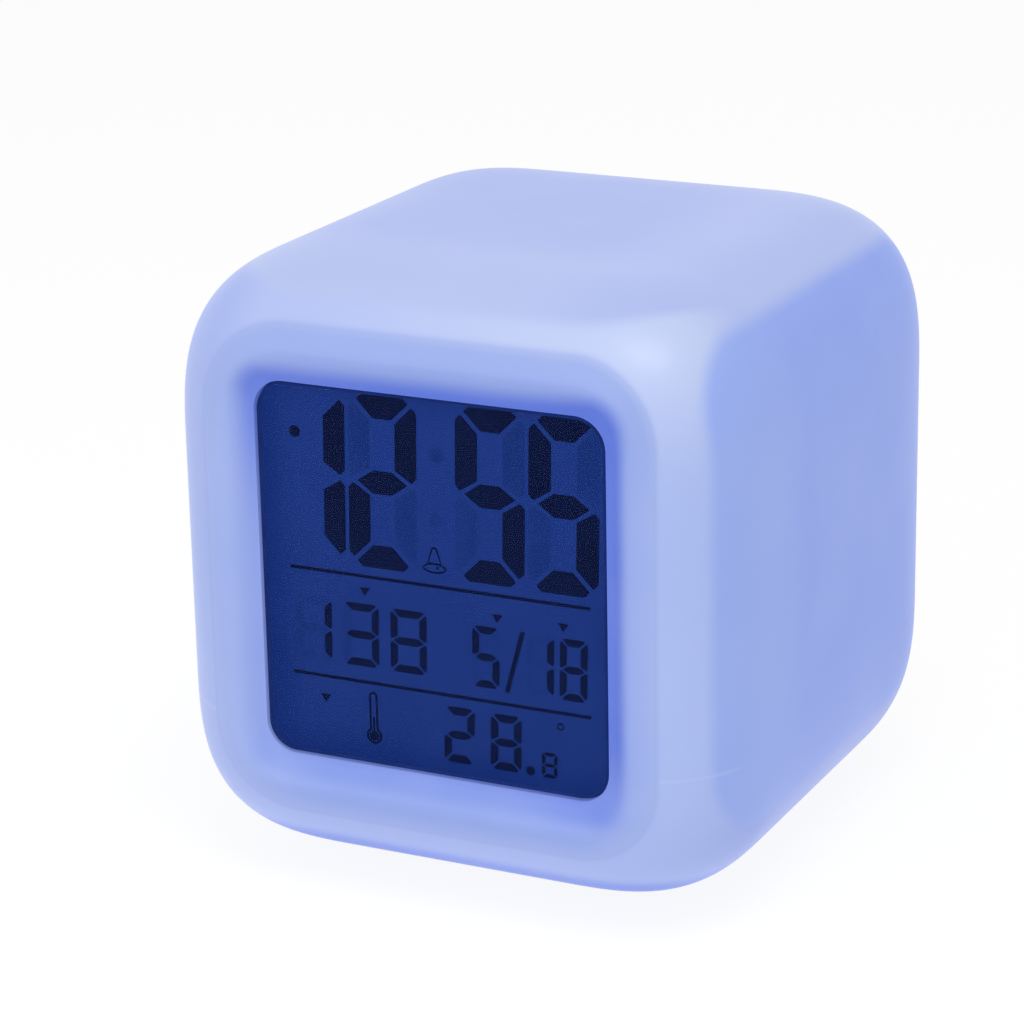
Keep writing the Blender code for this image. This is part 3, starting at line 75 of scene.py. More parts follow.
def in_mm(lengths):
    return [round(length / MM, 2) for length in lengths]


# %% [markdown]
# ## Camera
# A camera can be placed by eye or worked out from the photograph. Here the outline of the cube and
# the four corners of its window were fitted, which gave the angle, distance and lens below.
# The clock stands a little right of the middle, so the lens is shifted and the camera isn't turned.

# %% Place the camera
VIEW_AZIMUTH = math.radians(25.62)
VIEW_ELEVATION = math.radians(17.95)
VIEW_ROLL = math.radians(-0.86)
VIEW_DISTANCE = 442.8 * MM
VIEW_AIM = Vector((0, 0, 41 * MM))
towards_camera = Vector((
    math.sin(VIEW_AZIMUTH) * math.cos(VIEW_ELEVATION),
    -math.cos(VIEW_AZIMUTH) * math.cos(VIEW_ELEVATION),
    math.sin(VIEW_ELEVATION),
))
bpy.ops.object.camera_add(location=VIEW_AIM + towards_camera * VIEW_DISTANCE)
camera = bpy.context.object
camera.name = "camera"
camera.rotation_mode = "QUATERNION"
level = (-towards_camera).to_track_quat("-Z", "Y")
camera.rotation_quaternion = level @ Quaternion((0, 0, 1), VIEW_ROLL)
camera.data.sensor_width = 36
camera.data.lens = 119.8
camera.data.shift_x = -0.0513
camera.data.shift_y = -0.0012
camera.data.clip_start = 10 * MM
bpy.context.scene.camera = camera
print("camera at, in mm:", in_mm(camera.location))

# %% [markdown]
# ## Helpers for shaping
# These helpers first deselect everything, then pick faces or edges by their place or direction.
# Every size and place is given in millimetres, and the helpers turn it into Blender's metres.

# %% Start, pick and finish
AXES = {"X": Vector((1, 0, 0)), "Y": Vector((0, 1, 0)), "Z": Vector((0, 0, 1))}
TURNS = {"X": (0, math.pi / 2, 0), "Y": (math.pi / 2, 0, 0), "Z": (0, 0, 0)}
SHARP = math.radians(40)


def start(add, name, **where):
    """Adds a primitive with nothing else selected, and applies its size and place."""
    bpy.ops.object.select_all(action="DESELECT")
    add(**where)
    made = bpy.context.object
    made.name = name
    bpy.ops.object.transform_apply(location=True, rotation=True, scale=True)
    return made


def only(*pieces):
    """Leaves these pieces selected, and the first of them active."""
    bpy.ops.object.select_all(action="DESELECT")
    bpy.context.view_layer.objects.active = pieces[0]
    for piece in pieces:
        piece.select_set(True)


def pick(piece, kind, wanted, among=None):
    """Opens a piece in edit mode with the wanted edges or faces selected, and counts them.

    An edge is judged by its two ends, a face by its centre and its normal.
    """
    only(piece)
    bpy.ops.object.mode_set(mode="EDIT")
    bpy.ops.mesh.select_mode(type=kind)
    bpy.ops.mesh.select_all(action="DESELECT")
    bpy.ops.object.mode_set(mode="OBJECT")
    points = piece.data.vertices
    if kind == "FACE":
        parts = [(face, (face.center / MM, face.normal)) for face in piece.data.polygons]
    else:
        edges = [edge for edge in piece.data.edges if among is None or edge.key in among]
        parts = [(edge, [points[i].co / MM for i in edge.vertices]) for edge in edges]
    count = 0
    for part, about in parts:
        part.select = bool(wanted(*about))
        count += part.select
    bpy.ops.object.mode_set(mode="EDIT")
    return count


def close_edit():
    bpy.ops.object.mode_set(mode="OBJECT")


def round_picked(width, steps, clamp=False):
    """Rounds the picked edges and leaves edit mode."""
    bpy.ops.mesh.bevel(
        offset=width * MM, offset_type="OFFSET", segments=steps, profile=0.5,
        affect="EDGES", clamp_overlap=clamp)
    close_edit()


def inset(width, move=(0, 0, 0)):
    """Insets the picked face and moves what is left of it."""
    bpy.ops.mesh.inset(thickness=width * MM)
    bpy.ops.transform.translate(value=Vector(move) * MM)


def extrude(move, wider=1):
    """Extrudes the picked face by a move and scales its end across z."""
    bpy.ops.mesh.extrude_region_move(TRANSFORM_OT_translate={"value": tuple(Vector(move) * MM)})
    bpy.ops.transform.resize(value=(wider, wider, 1))


def apply_all(piece):
    """Applies every modifier of the piece, in order."""
    only(piece)
    for modifier in list(piece.modifiers):
        bpy.ops.object.modifier_apply(modifier=modifier.name)


def together(pieces, name):
    """Joins pieces into one object without merging what they hold."""
    only(*pieces)
    if len(pieces) > 1:
        bpy.ops.object.join()
    pieces[0].name = name
    return pieces[0]


def combine(piece, others, operation):
    """Cuts other solids out of the piece, or joins them on, and takes the others away."""
    tool = together(others, "tool")
    modifier = piece.modifiers.new("tool", "BOOLEAN")
    modifier.operation = operation
    modifier.solver = "EXACT"
    modifier.object = tool
    apply_all(piece)
    bpy.data.objects.remove(tool)
    return piece


def cut(piece, *others):
    return combine(piece, others, "DIFFERENCE")


def weld(piece, *others):
    return combine(piece, others, "UNION")


def smooth(piece, angle=35):
    """Smooth shading, with edges sharper than the angle left sharp."""
    only(piece)
    bpy.ops.object.shade_smooth_by_angle(angle=math.radians(angle))
    return piece


def copy_of(piece, name, place, turn=(0, 0, 0)):
    """A copy with its own mesh, which is turned and then moved by place."""
    made = piece.copy()
    made.data = piece.data.copy()
    made.name = name
    bpy.context.scene.collection.objects.link(made)
    made.location = Vector(place) * MM
    made.rotation_euler = turn
    only(made)
    bpy.ops.object.transform_apply(location=True, rotation=True, scale=True)
    return made


def row(first, stem, places):
    """A piece made at the first place, and its copies at the others."""
    pieces = [first]
    for number, place in enumerate(places[1:], 2):
        pieces.append(copy_of(first, f"{stem}_{number}", Vector(place) - Vector(places[0])))
    return pieces


# %% [markdown]
# ## Two shapes that come back
# Nearly every moulded part of the clock is a block with round corners seen from one side, or a
# short round rod. Both are made once here. The block is a cube whose four long edges are bevelled.

# %% Rounded block and rod
def metres(point):
    """A point in mm as a vector in metres."""
    return Vector([value * MM for value in point])


def block(name, low, high, axis="Y", corner=0.0, steps=8):
    """A block between two corners. The edges along the axis get round corners."""
    low, high = metres(low), metres(high)
    made = start(bpy.ops.mesh.primitive_cube_add, name, size=1, location=(low + high) / 2, scale=high - low)
    if corner:
        pick(made, "EDGE", lambda one, two: abs((two - one).normalized().dot(AXES[axis])) > 0.99)
        round_picked(corner, steps)
    return made


def rod(name, place, radius, length, axis="Y", sides=48):
    """A round rod. The place is the middle of its low end."""
    return start(
        bpy.ops.mesh.primitive_cylinder_add, name, vertices=sides, radius=radius * MM, depth=length * MM,
        location=metres(place) + AXES[axis] * (length / 2 * MM), rotation=TURNS[axis])


def rods(places, *sizes, **more):
    """Like rods at several places, as one object."""
    return together([rod("rod", place, *sizes, **more) for place in places], "rods")


print("shapes ready:", block.__name__, rod.__name__)

# %% [markdown]
# ## The shell's outer form
# The shell is one moulding. Its corners don't follow a circle but a squared circle, |x|^3 + |y|^3 = 1,
# which starts so gently that no line shows where flat turns to round. A Bevel modifier has that curve:
# its profile is 2^(-2/3). The flats are then bisected into a fine grid, which the sunk front needs.

# %% Outer form
SHELL_WIDTH = 78
SHELL_DEPTH = 82
SHELL_HEIGHT = 78
SHELL_WALL = 1.8
SHELL_BOTTOM = 2
SHELL_MIDDLE = SHELL_BOTTOM + SHELL_HEIGHT / 2
EDGE_REACH = 24
EDGE_PROFILE = 2 ** (-2 / 3)
EDGE_STEPS = 52
GRID = 1.3


def soft_cube(name, size, centre, reach, steps):
    """A cube with squared-circle edges and corners."""
    made = start(bpy.ops.mesh.primitive_cube_add, name, size=1, location=centre * MM, scale=size * MM)
    bevel = made.modifiers.new("soft edges", "BEVEL")
    bevel.limit_method = "NONE"
    bevel.offset_type = "OFFSET"
    bevel.width = reach * MM
    bevel.segments = steps
    bevel.profile = EDGE_PROFILE
    bevel.use_clamp_overlap = False
    apply_all(made)
    return made


def grid_flats(piece, size, centre, reach, spacing):
    """Bisects the long flats at even places along each axis."""
    only(piece)
    bpy.ops.object.mode_set(mode="EDIT")
    for axis, side, middle in zip(AXES.values(), size, centre):
        half = side / 2 - reach
        cuts = int(2 * half / spacing)
        for i in range(1, cuts):
            place = axis * (middle - half + 2 * half * i / cuts) * MM
            bpy.ops.mesh.select_all(action="SELECT")
            bpy.ops.mesh.bisect(plane_co=place, plane_no=axis)
    close_edit()


shell_size = Vector((SHELL_WIDTH, SHELL_DEPTH, SHELL_HEIGHT))
shell_centre = Vector((0, 0, SHELL_MIDDLE))
shell = soft_cube("clock_shell", shell_size, shell_centre, EDGE_REACH, EDGE_STEPS)
grid_flats(shell, shell_size, shell_centre, EDGE_REACH, GRID)
print("shell grid:", len(shell.data.polygons), "faces")

# %% [markdown]
# ## The sunk window
# Round the window the front dips softly to the display. A Boolean would leave a hard line at the top of
# the dip. So each point gets a weight from its distance to the window, and a Displace modifier moves
# it back by that weight. The weight falls along an S, so the dip has no edge at either end.

# %% Sink the front round the window
WINDOW_WIDTH = 47
WINDOW_HEIGHT = 48.2
WINDOW_CORNER = 4
WINDOW_MIDDLE = SHELL_MIDDLE + 1.2
WINDOW_PLANE = -37.8
DIP_WIDTH = 4.6
DIP_STRENGTH = 4


def ease(share):
    """An S from 0 to 1."""
    return share * share * (3 - 2 * share)


def dip_share(place):
    """1 at the window's edge, 0 where the dip ends, and an S between."""
    across = max(abs(place.x) - (WINDOW_WIDTH / 2 - WINDOW_CORNER), 0)
    up = max(abs(place.z - WINDOW_MIDDLE) - (WINDOW_HEIGHT / 2 - WINDOW_CORNER), 0)
    beyond = math.hypot(across, up) - WINDOW_CORNER
    return ease(max(0.0, min(1.0, 1 - beyond / DIP_WIDTH)))


dip = shell.vertex_groups.new(name="dip")
for point in shell.data.vertices:
    place = point.co / MM
    depth = (WINDOW_PLANE - place.y) * dip_share(place)
    if place.y < -SHELL_DEPTH / 4 and depth > 0:
        dip.add([point.index], depth / DIP_STRENGTH, "REPLACE")
sink = shell.modifiers.new("sink", "DISPLACE")
sink.direction = "Y"
sink.mid_level = 0
sink.strength = DIP_STRENGTH * MM
sink.vertex_group = "dip"
apply_all(shell)
shell.vertex_groups.clear()
print("foremost point in mm:", round(min(point.co.y for point in shell.data.vertices) / MM, 2))

# %% [markdown]
# ## The shell's hollow, with its posts and seats
# Inside the wall stand the seats for the lens, the rear cover, the base plate and the boards.
# Modelling each on the wall would be slow. A mould maker works the other way round: the hollow is a
# smaller soft cube, and every seat is cut out of the hollow, so it stays when the hollow is removed.

# %% Sizes of the seats
FRONT_OF_ALL = -42
REAR_OF_ALL = 42
LENS_SEAT = -35.5
FRAME_BACK = -29.5
BOARD_BACK = -27.3
OPENING_WIDTH = 58
OPENING_LOW = 11
OPENING_HIGH = 70.9
OPENING_CORNER = 10
LEDGE_OUT = 35.7
LEDGE_IN = 34.1
BASE_HOLE_WIDTH = 44.6
BASE_HOLE_DEPTH = 48.6
BASE_HOLE_CORNER = 6.3
BASE_RIM_TOP = 5
POST_RADIUS = 2.2
PILOT_RADIUS = 1.0
COVER_HOLE_RADIUS = 1.1
COVER_BOSS_RADIUS = 3
FLOOR_BOSS_RADIUS = 2.4
FLOOR_BOSS_TOP = 14.1
SIDES = (-1, 1)
CORNERS = [(side, level) for level in SIDES for side in SIDES]
BOARD_POSTS = [(side * 29.2, WINDOW_MIDDLE + level * 22) for side, level in CORNERS]
COVER_SCREWS = [(side * 23.2, 66.1) for side in SIDES]
FLOOR_BOSSES = [(side * 28, y) for side in SIDES for y in (-20, 14)]


def window_block(name, grow, front_y, back_y):
    """A block with the window's outline, larger by grow all round."""
    half_x, half_z = WINDOW_WIDTH / 2 + grow, WINDOW_HEIGHT / 2 + grow
    low = (-half_x, front_y, WINDOW_MIDDLE - half_z)
    return block(name, low, (half_x, back_y, WINDOW_MIDDLE + half_z), "Y", WINDOW_CORNER + grow, 10)


def rear_block(name, grow, front_y, back_y):
    """A block with the outline of the opening at the back."""
    low = (-OPENING_WIDTH / 2 - grow, front_y, OPENING_LOW - grow)
    high = (OPENING_WIDTH / 2 + grow, back_y, OPENING_HIGH + grow)
    return block(name, low, high, "Y", OPENING_CORNER + grow, 12)


def base_block(name, grow, low_z, high_z):
    """A block with the outline of the opening underneath."""
    half_x, half_y = BASE_HOLE_WIDTH / 2 + grow, BASE_HOLE_DEPTH / 2 + grow
    return block(name, (-half_x, -half_y, low_z), (half_x, half_y, high_z), "Z", BASE_HOLE_CORNER + grow)


# %% Hollow the shell and leave its seats
hollow_size = shell_size - Vector((2, 2, 2)) * SHELL_WALL
hollow = soft_cube("hollow", hollow_size, shell_centre, EDGE_REACH - SHELL_WALL, 14)
cut(hollow, window_block("lens seat", 4.4, FRONT_OF_ALL, LENS_SEAT))
ring = rear_block("cover ring", 2, LEDGE_IN, REAR_OF_ALL)
cut(hollow, cut(ring, rear_block("ring inside", -2, LEDGE_IN - 1, REAR_OF_ALL + 1)))
cut(hollow, base_block("base rim", 2.9, SHELL_BOTTOM, BASE_RIM_TOP))
boss_places = [(x, y, SHELL_BOTTOM) for x, y in FLOOR_BOSSES]
cut(
    hollow,
    rods([(x, FRONT_OF_ALL, z) for x, z in BOARD_POSTS], POST_RADIUS, FRAME_BACK - FRONT_OF_ALL, sides=24),
    rods(boss_places, FLOOR_BOSS_RADIUS, FLOOR_BOSS_TOP - SHELL_BOTTOM, "Z", 24),
    rods([(x, 29.2, z) for x, z in COVER_SCREWS], COVER_BOSS_RADIUS, 6.8, sides=24),
)
cut(shell, hollow)
print("shell with its seats:", len(shell.data.polygons), "faces")

# %% Open the window, the rear and the bottom
cut(
    shell,
    window_block("window hole", 0, FRONT_OF_ALL, -36),
    rear_block("rear hole", 0, LEDGE_OUT, REAR_OF_ALL),
    base_block("bottom hole", 0, 0, BASE_RIM_TOP + 1),
)
cut(shell, window_block("lens room", 1.7, -36.8, FRAME_BACK))
cut(
    shell,
    rods([(x, -34.6, z) for x, z in BOARD_POSTS], PILOT_RADIUS, 5.6, sides=16),
    rods([(x, 30, z) for x, z in COVER_SCREWS], COVER_HOLE_RADIUS, 6, sides=16),
    rods([(x, y, 9.4) for x, y in FLOOR_BOSSES], PILOT_RADIUS, 5, "Z", 16),
)
smooth(shell, 30)
print("shell in mm:", in_mm(shell.dimensions))

# %% [markdown]
# ## The lens
# A clear plate fills the window. It has a step, so that a flange behind the shell's lip holds it.
# One extruded plate could do, but its cut sides would shine pale through the clear face. So the
# sides and the flange get a dark print, as on real display lenses.

# %% Lens
LENS_GAP = 0.3
LENS_FLANGE_FRONT = -36.5
lens = window_block("display_lens", -LENS_GAP, WINDOW_PLANE, LENS_SEAT)
pick(lens, "EDGE", lambda one, two: max(one.y, two.y) < WINDOW_PLANE + 0.01)
round_picked(0.25, 3)
weld(lens, window_block("flange", 1.4, LENS_FLANGE_FRONT, LENS_SEAT))
smooth(lens)
print("lens in mm:", in_mm(lens.dimensions))

# %% [markdown]
# ## The display and its figures
# The display is two sheets of glass with liquid crystal between. Each figure is made of seven bars
# with mitred ends. Text objects can't give such bars, so each bar is a closed outline in a flat
# curve, which is given a little thickness and made a mesh. All bars share one set of proportions.

# %% Display glass
GLASS_FRONT = -35.2
GLASS_BACK = -33
GLASS_X = 24.7
GLASS_LOW, GLASS_HIGH = WINDOW_MIDDLE - 25.3, WINDOW_MIDDLE + 25.3
glass = block("display_glass", (-GLASS_X, GLASS_FRONT, GLASS_LOW), (GLASS_X, GLASS_BACK, GLASS_HIGH))
ledge_low = (-26, GLASS_FRONT + 1.1, GLASS_LOW - 0.7)
cut(glass, block("glass ledge", ledge_low, (26, GLASS_BACK + 1, GLASS_LOW + 2.6)))
pick(glass, "EDGE", lambda one, two: (one - two).length > 3)
round_picked(0.15, 2)
smooth(glass)
print("display glass:", len(glass.data.polygons), "faces")

# %% Bars of a figure
FIGURE_BARS = {
    "0": "abcdef", "1": "bc", "2": "abged", "3": "abgcd", "4": "fgbc",
    "5": "afgcd", "6": "afgedc", "7": "abc", "8": "abcdefg", "9": "abcdfg",
}
FIGURE_LEAN = 0.024


def bar(kind, width, height, stroke, gap):
    """Outline of one of the seven bars, from the figure's lower left corner."""
    clip = 0.62 * stroke
    middle = height / 2
    near_end, far_end = (clip - gap) / 2, (clip + gap) / 2
    if kind == "g":
        end, half, tip = stroke + gap, stroke / 2, 0.42 * stroke
        return [
            (tip, middle), (end, middle + half), (width - end, middle + half),
            (width - tip, middle), (width - end, middle - half), (end, middle - half),
        ]
    if kind in "ad":
        level = [(clip, 0), (far_end, near_end), (stroke + gap, stroke)]
        line = level + [(width - x, y) for x, y in reversed(level)]
        return [(x, y if kind == "d" else height - y) for x, y in line]
    point_in = 0.22 * stroke
    line = [
        (0, clip), (near_end, far_end), (stroke, stroke + gap),
        (stroke, middle - stroke / 2 - gap * 0.7),
        (point_in, middle - gap * 0.8), (0, middle - gap * 0.8 - point_in),
    ]
    if kind in "bf":
        line = [(x, height - y) for x, y in line]
    if kind in "bc":
        line = [(width - x, y) for x, y in line]
    return line


def figure(number, left, bottom, width, height, stroke, gap, unlit=False):
    """Outlines of a figure's lit bars, or of its unlit ones, in mm from the window's middle."""
    made = []
    for kind in "abcdefg":
        if (kind in FIGURE_BARS[number]) != unlit:
            line = bar(kind, width, height, stroke, gap)
            made.append([(left + x + FIGURE_LEAN * (y - height / 2), bottom + y) for x, y in line])
    return made


# %% Outlines of dots, lines and signs
def dot(x, z, radius, sides=24):
    turns = [2 * math.pi * i / sides for i in range(sides)]
    return [(x + radius * math.cos(turn), z + radius * math.sin(turn)) for turn in turns]


def box(left, bottom, right, top):
    return [(left, bottom), (right, bottom), (right, top), (left, top)]


def line_round(points, thickness):
    """A closed ribbon that follows points, as an outer and an inner outline."""
    middle = sum((Vector(point) for point in points), Vector((0, 0))) / len(points)
    inner = []
    for point in points:
        out = Vector(point) - middle
        inner.append(tuple(middle + out * (1 - thickness / out.length)))
    return [points, inner]


def bell(x, z, size):
    """A small alarm bell: its domed outline, then its brim and clapper, which cross that outline."""
    steps = [(0.0, 1.0), (0.1, 0.97), (0.17, 0.86), (0.27, 0.5), (0.37, 0.18)]
    half = [(x + size * across, z + size * up) for across, up in steps]
    other = [(2 * x - across, up) for across, up in reversed(half)]
    crossing = [dot(x + 0.17 * size, z + 0.04 * size, 0.07 * size)]
    for wide, high in ((0.6, 0.25), (0.51, 0.16)):
        crossing.append([(x + size * wide * a, z + size * high * b) for a, b in dot(0, 0, 1)])
    return line_round(half + other[:-1], 0.1 * size), crossing


def thermometer(x, top, bottom, radius, wall=0.3):
    """The outline of a tube with a filled bulb, and the column that stands in it."""
    made = []
    for inward in (0.0, wall):
        tube = 0.55 * radius - inward
        ball = radius - inward
        open_turn = math.asin(tube / ball)
        turns = [open_turn + (2 * math.pi - 2 * open_turn) * i / 20 for i in range(21)]
        line = [(x + ball * math.sin(turn), bottom + ball * math.cos(turn)) for turn in turns]
        cap = [math.pi * i / 8 for i in range(9)]
        line += [(x - tube * math.cos(turn), top - 0.55 * radius + tube * math.sin(turn)) for turn in cap]
        made.append(line)
    middle = bottom + 0.42 * (top - bottom)
    return made + [dot(x, bottom, radius * 0.62)], [box(x - 0.14, bottom, x + 0.14, middle)]


print("a figure eight has", len(figure("8", 0, 0, 9, 22, 3, 0.3)), "bars")

# %% Lay out the display
BIG = {"bottom": 0.9, "width": 9.3, "height": 22.0, "stroke": 2.95, "gap": 0.42}
DAY = {"bottom": -12.2, "width": 5.0, "height": 8.2, "stroke": 1.0, "gap": 0.2}
DATE = {"bottom": -12.5, "width": 3.7, "height": 7.9, "stroke": 0.95, "gap": 0.2}
WARM = {"bottom": -22.95, "width": 4.2, "height": 7.3, "stroke": 1.05, "gap": 0.2}
TENTH = {"bottom": -22.95, "width": 2.1, "height": 3.3, "stroke": 0.5, "gap": 0.12}
PLACES = [
    ("1", -21.9, BIG), ("2", -12.1, BIG), ("5", 2.4, BIG), ("5", 12.15, BIG),
    ("1", -20.2, DAY), ("3", -13.6, DAY), ("8", -7.0, DAY),
    ("5", 4.2, DATE), ("1", 11.5, DATE), ("8", 15.95, DATE),
    ("2", 0.1, WARM), ("8", 6.45, WARM), ("8", 13.35, TENTH),
]
lit_bars = []
unlit_bars = []
for number, left, size in PLACES:
    lit_bars += figure(number, left, **size)
    if left != PLACES[0][1]:
        unlit_bars += figure(number, left, unlit=True, **size)
lit_bars += [box(-20.75, -0.62, 20.1, -0.18), box(-20.85, -14.47, 20.1, -14.03)]
lit_bars += [dot(-19.4, 17.1, 0.75), dot(11.8, -22.4, 0.6)]
lit_bars += [[(8.5, -12.7), (9.15, -12.7), (11.4, -4.6), (10.75, -4.6)]]
lit_bars += line_round(dot(15.95, -16.05, 0.5), 0.2)
crossing_bars = []
for sign, crossing in (bell(-0.65, 1.93, 2.7), thermometer(-9.7, -15.4, -21.2, 1.1)):
    lit_bars += sign
    crossing_bars += crossing
for x, z in ((-10.4, -2.4), (7.7, -3.4), (16.5, -3.3), (-16.4, -17.2)):
    lit_bars.append([(x - 0.75, z + 0.55), (x + 0.75, z + 0.55), (x, z - 0.55)])
unlit_bars += [dot(0.1, 16.3, 1.0), dot(-0.3, 8.1, 1.0)]
print("bars lit:", len(lit_bars), "unlit:", len(unlit_bars))


# %% Make the bars solid
def curve_mesh(name, lines, closed, **settings):
    """Draws lines in one curve, sets it, and makes it a mesh."""
    curve = bpy.data.curves.new(name, "CURVE")
    for setting, value in settings.items():
        setattr(curve, setting, value)
    for line in lines:
        spline = curve.splines.new("POLY")
        spline.points.add(len(line) - 1)
        spline.use_cyclic_u = closed
        for point, spot in zip(spline.points, line):
            point.co = (*(Vector(spot) * MM), 1)
    made = bpy.data.objects.new(name, curve)
    bpy.context.scene.collection.objects.link(made)
    only(made)
    bpy.ops.object.convert(target="MESH")
    return made


def flat_pieces(name, outlines, thickness):
    """Fills flat outlines, gives them a thickness and stands them on the display's face."""
    lines = [[(x, z, 0) for x, z in outline] for outline in outlines]
    made = curve_mesh(name, lines, True, dimensions="2D", fill_mode="BOTH", extrude=thickness / 2 * MM)
    made.rotation_euler = TURNS["Y"]
    made.location = Vector((0, GLASS_FRONT - thickness / 2 - 0.005, WINDOW_MIDDLE)) * MM
    bpy.ops.object.transform_apply(location=True, rotation=True, scale=True)
    return made


lit = [flat_pieces("lit", lit_bars, 0.05), flat_pieces("crossing", crossing_bars, 0.055)]
figures = together(lit, "display_figures")
unlit_figures = flat_pieces("display_unlit_figures", unlit_bars, 0.02)
print("figures:", len(figures.data.polygons), "faces, unlit:", len(unlit_figures.data.polygons))

# %% [markdown]
# ## Soft rims
# Moulded parts have no truly sharp rims. After all cuts are made, the sharp edges in one plane are
# picked and bevelled together. A Bevel modifier could do it too, but it would also catch the tiny
# edges inside, where two roundings would run into each other.

# %% Bevel the sharp edges that are wanted
def near(value, target):
    return abs(value - target) < 0.02


def at(axis, value):
    """Wants the edges that lie at one value of x, y or z."""
    return lambda one, two: near(getattr(one, axis), value) and near(getattr(two, axis), value)


def soften(piece, wanted, width, steps=2):
    """Rounds those of the piece's sharp edges that are wanted, and counts them."""
    normals = {}
    for face in piece.data.polygons:
        for key in face.edge_keys:
            normals.setdefault(key, []).append(face.normal.copy())
    sharp = {key for key, pair in normals.items() if len(pair) == 2 and pair[0].angle(pair[1]) > SHARP}
    count = pick(piece, "EDGE", wanted, sharp)
    round_picked(width, steps, clamp=True)
    return count


print("edges count as sharp from", round(math.degrees(SHARP)), "degrees")

# %% [markdown]
# ## Rear cover
# The cover is a plate with the battery pocket, two hooks and four posts moulded on. It is built like
# the real tool would make it: the plate first, then what stands on it, then all openings. The rims on
# its outer face are rounded last, in one go.

# %% Rear cover: plate, pocket, hooks and posts
COVER_OUT = 38
COVER_IN = 36
COVER_LOW, COVER_HIGH = 11.3, 70.6
COVER_HALF = 28.7
POCKET_HALF = 25
POCKET_LOW, POCKET_HIGH = 15.3, 48.6
POCKET_FLOOR = 25.3
POCKET_WALL = 1.5
BUTTON_ROW = 61.4
SWITCH_ROW = 54.1
BUTTON_PLACES = (-15, -5, 5, 15)
POST_PLACES = ((-10, 65.3), (10, 65.3), (-16.9, SWITCH_ROW), (16.9, SWITCH_ROW))
HOOK_PLACES = (-12, 12)

cover_low, cover_high = (-COVER_HALF, COVER_IN, COVER_LOW), (COVER_HALF, COVER_OUT, COVER_HIGH)
cover = block("back_cover", cover_low, cover_high, "Y", 9.7, 12)
pocket_low = (-POCKET_HALF - POCKET_WALL, POCKET_FLOOR - POCKET_WALL, POCKET_LOW - POCKET_WALL)
pocket_high = (POCKET_HALF + POCKET_WALL, COVER_IN + 0.3, POCKET_HIGH + POCKET_WALL)
weld(cover, block("pocket", pocket_low, pocket_high, "Y", 1.2, 3))
weld(cover, *(block("hook", (x - 3, 32.1, 10.4), (x + 3, 33.8, 14.5), "Y", 0.5, 2) for x in HOOK_PLACES))
weld(cover, rods([(x, 29, z) for x, z in POST_PLACES], 1.4, 7.3, sides=24))
weld(cover, rods([(x, 26.9, z) for x, z in POST_PLACES], 0.8, 2.4, sides=20))
print("cover so far:", len(cover.data.polygons), "faces")

# %% Rear cover: recess, pocket and holes
past_cover = COVER_OUT + 1
cut(cover, block("door recess", (-25.8, 36.3, 14.3), (25.8, past_cover, 49.8), "Y", 0.4, 3))
cavity_low = (-POCKET_HALF, POCKET_FLOOR, POCKET_LOW)
cut(cover, block("cavity", cavity_low, (POCKET_HALF, past_cover, POCKET_HIGH)))
for left in (-27.1, 25.5):
    cut(cover, block("hinge notch", (left, 36.5, 14.5), (left + 1.6, past_cover, 16.1)))
cut(
    cover,
    rods([(x, 35, BUTTON_ROW) for x in BUTTON_PLACES], 3.3, 4),
    rods([(-8.5 + 2.4 * (i - 2), 35, SWITCH_ROW) for i in range(5)], 0.75, 4, sides=24),
    rods([(x, 35, z) for x, z in COVER_SCREWS], COVER_HOLE_RADIUS, 4, sides=24),
    block("slide slot", (5.9, 35, SWITCH_ROW - 1.1), (10.1, past_cover, SWITCH_ROW + 1.1), "Y", 0.3, 2),
)
cut(
    cover,
    rods([(x, 36.6, z) for x, z in COVER_SCREWS], 2.2, 2),
    block("slide recess", (4.6, 37.6, SWITCH_ROW - 2), (11.4, past_cover, SWITCH_ROW + 2), "Y", 1.2, 5),
)
softened = soften(cover, at("y", COVER_OUT), 0.25)
smooth(cover)
print("cover:", len(cover.data.polygons), "faces,", softened, "edges softened")

# %% [markdown]
# ## Battery door
# A thin plate that turns on two pins at its foot. Its lower end is a half round, so that it can
# swing, and a finger presses it down at the ribs and the notch to open it.

# %% Battery door
DOOR_HALF = 25.5
DOOR_TOP = 49.5
HINGE_Y, HINGE_Z = 37.3, 15.3
RIB_OUT = 38.5
door = block("door_panel", (-DOOR_HALF, 36.6, HINGE_Z - 0.7), (DOOR_HALF, COVER_OUT, DOOR_TOP))
pick(door, "EDGE", lambda one, two: one.z < HINGE_Z and near(one.z, two.z) and near(one.y, two.y))
round_picked(0.69, 6)
cut(door, rod("finger notch", (0, 37.2, DOOR_TOP), 5, 2, sides=64))
soften(door, at("y", COVER_OUT), 0.22)
ribs = []
for i in (1, 2, 3):
    middle = DOOR_TOP - 5 - 1.7 * i
    ribs.append(block("rib", (-6, 37.6, middle - 0.3), (6, RIB_OUT, middle + 0.3)))
    soften(ribs[-1], at("y", RIB_OUT), 0.22, 3)
weld(door, *ribs)
weld(door, rods([(x, HINGE_Y, HINGE_Z) for x in (-26.8, 24.2)], 0.5, 2.6, "X", 20))
smooth(door)
print("door:", len(door.data.polygons), "faces")

# %% [markdown]
# ## Buttons and slide knob
# The four buttons are alike, so one is modelled and copied. A cylinder gets a dished top: its end face
# is inset and pushed in a little. The knob is a small tab with grip lines on a square stem.

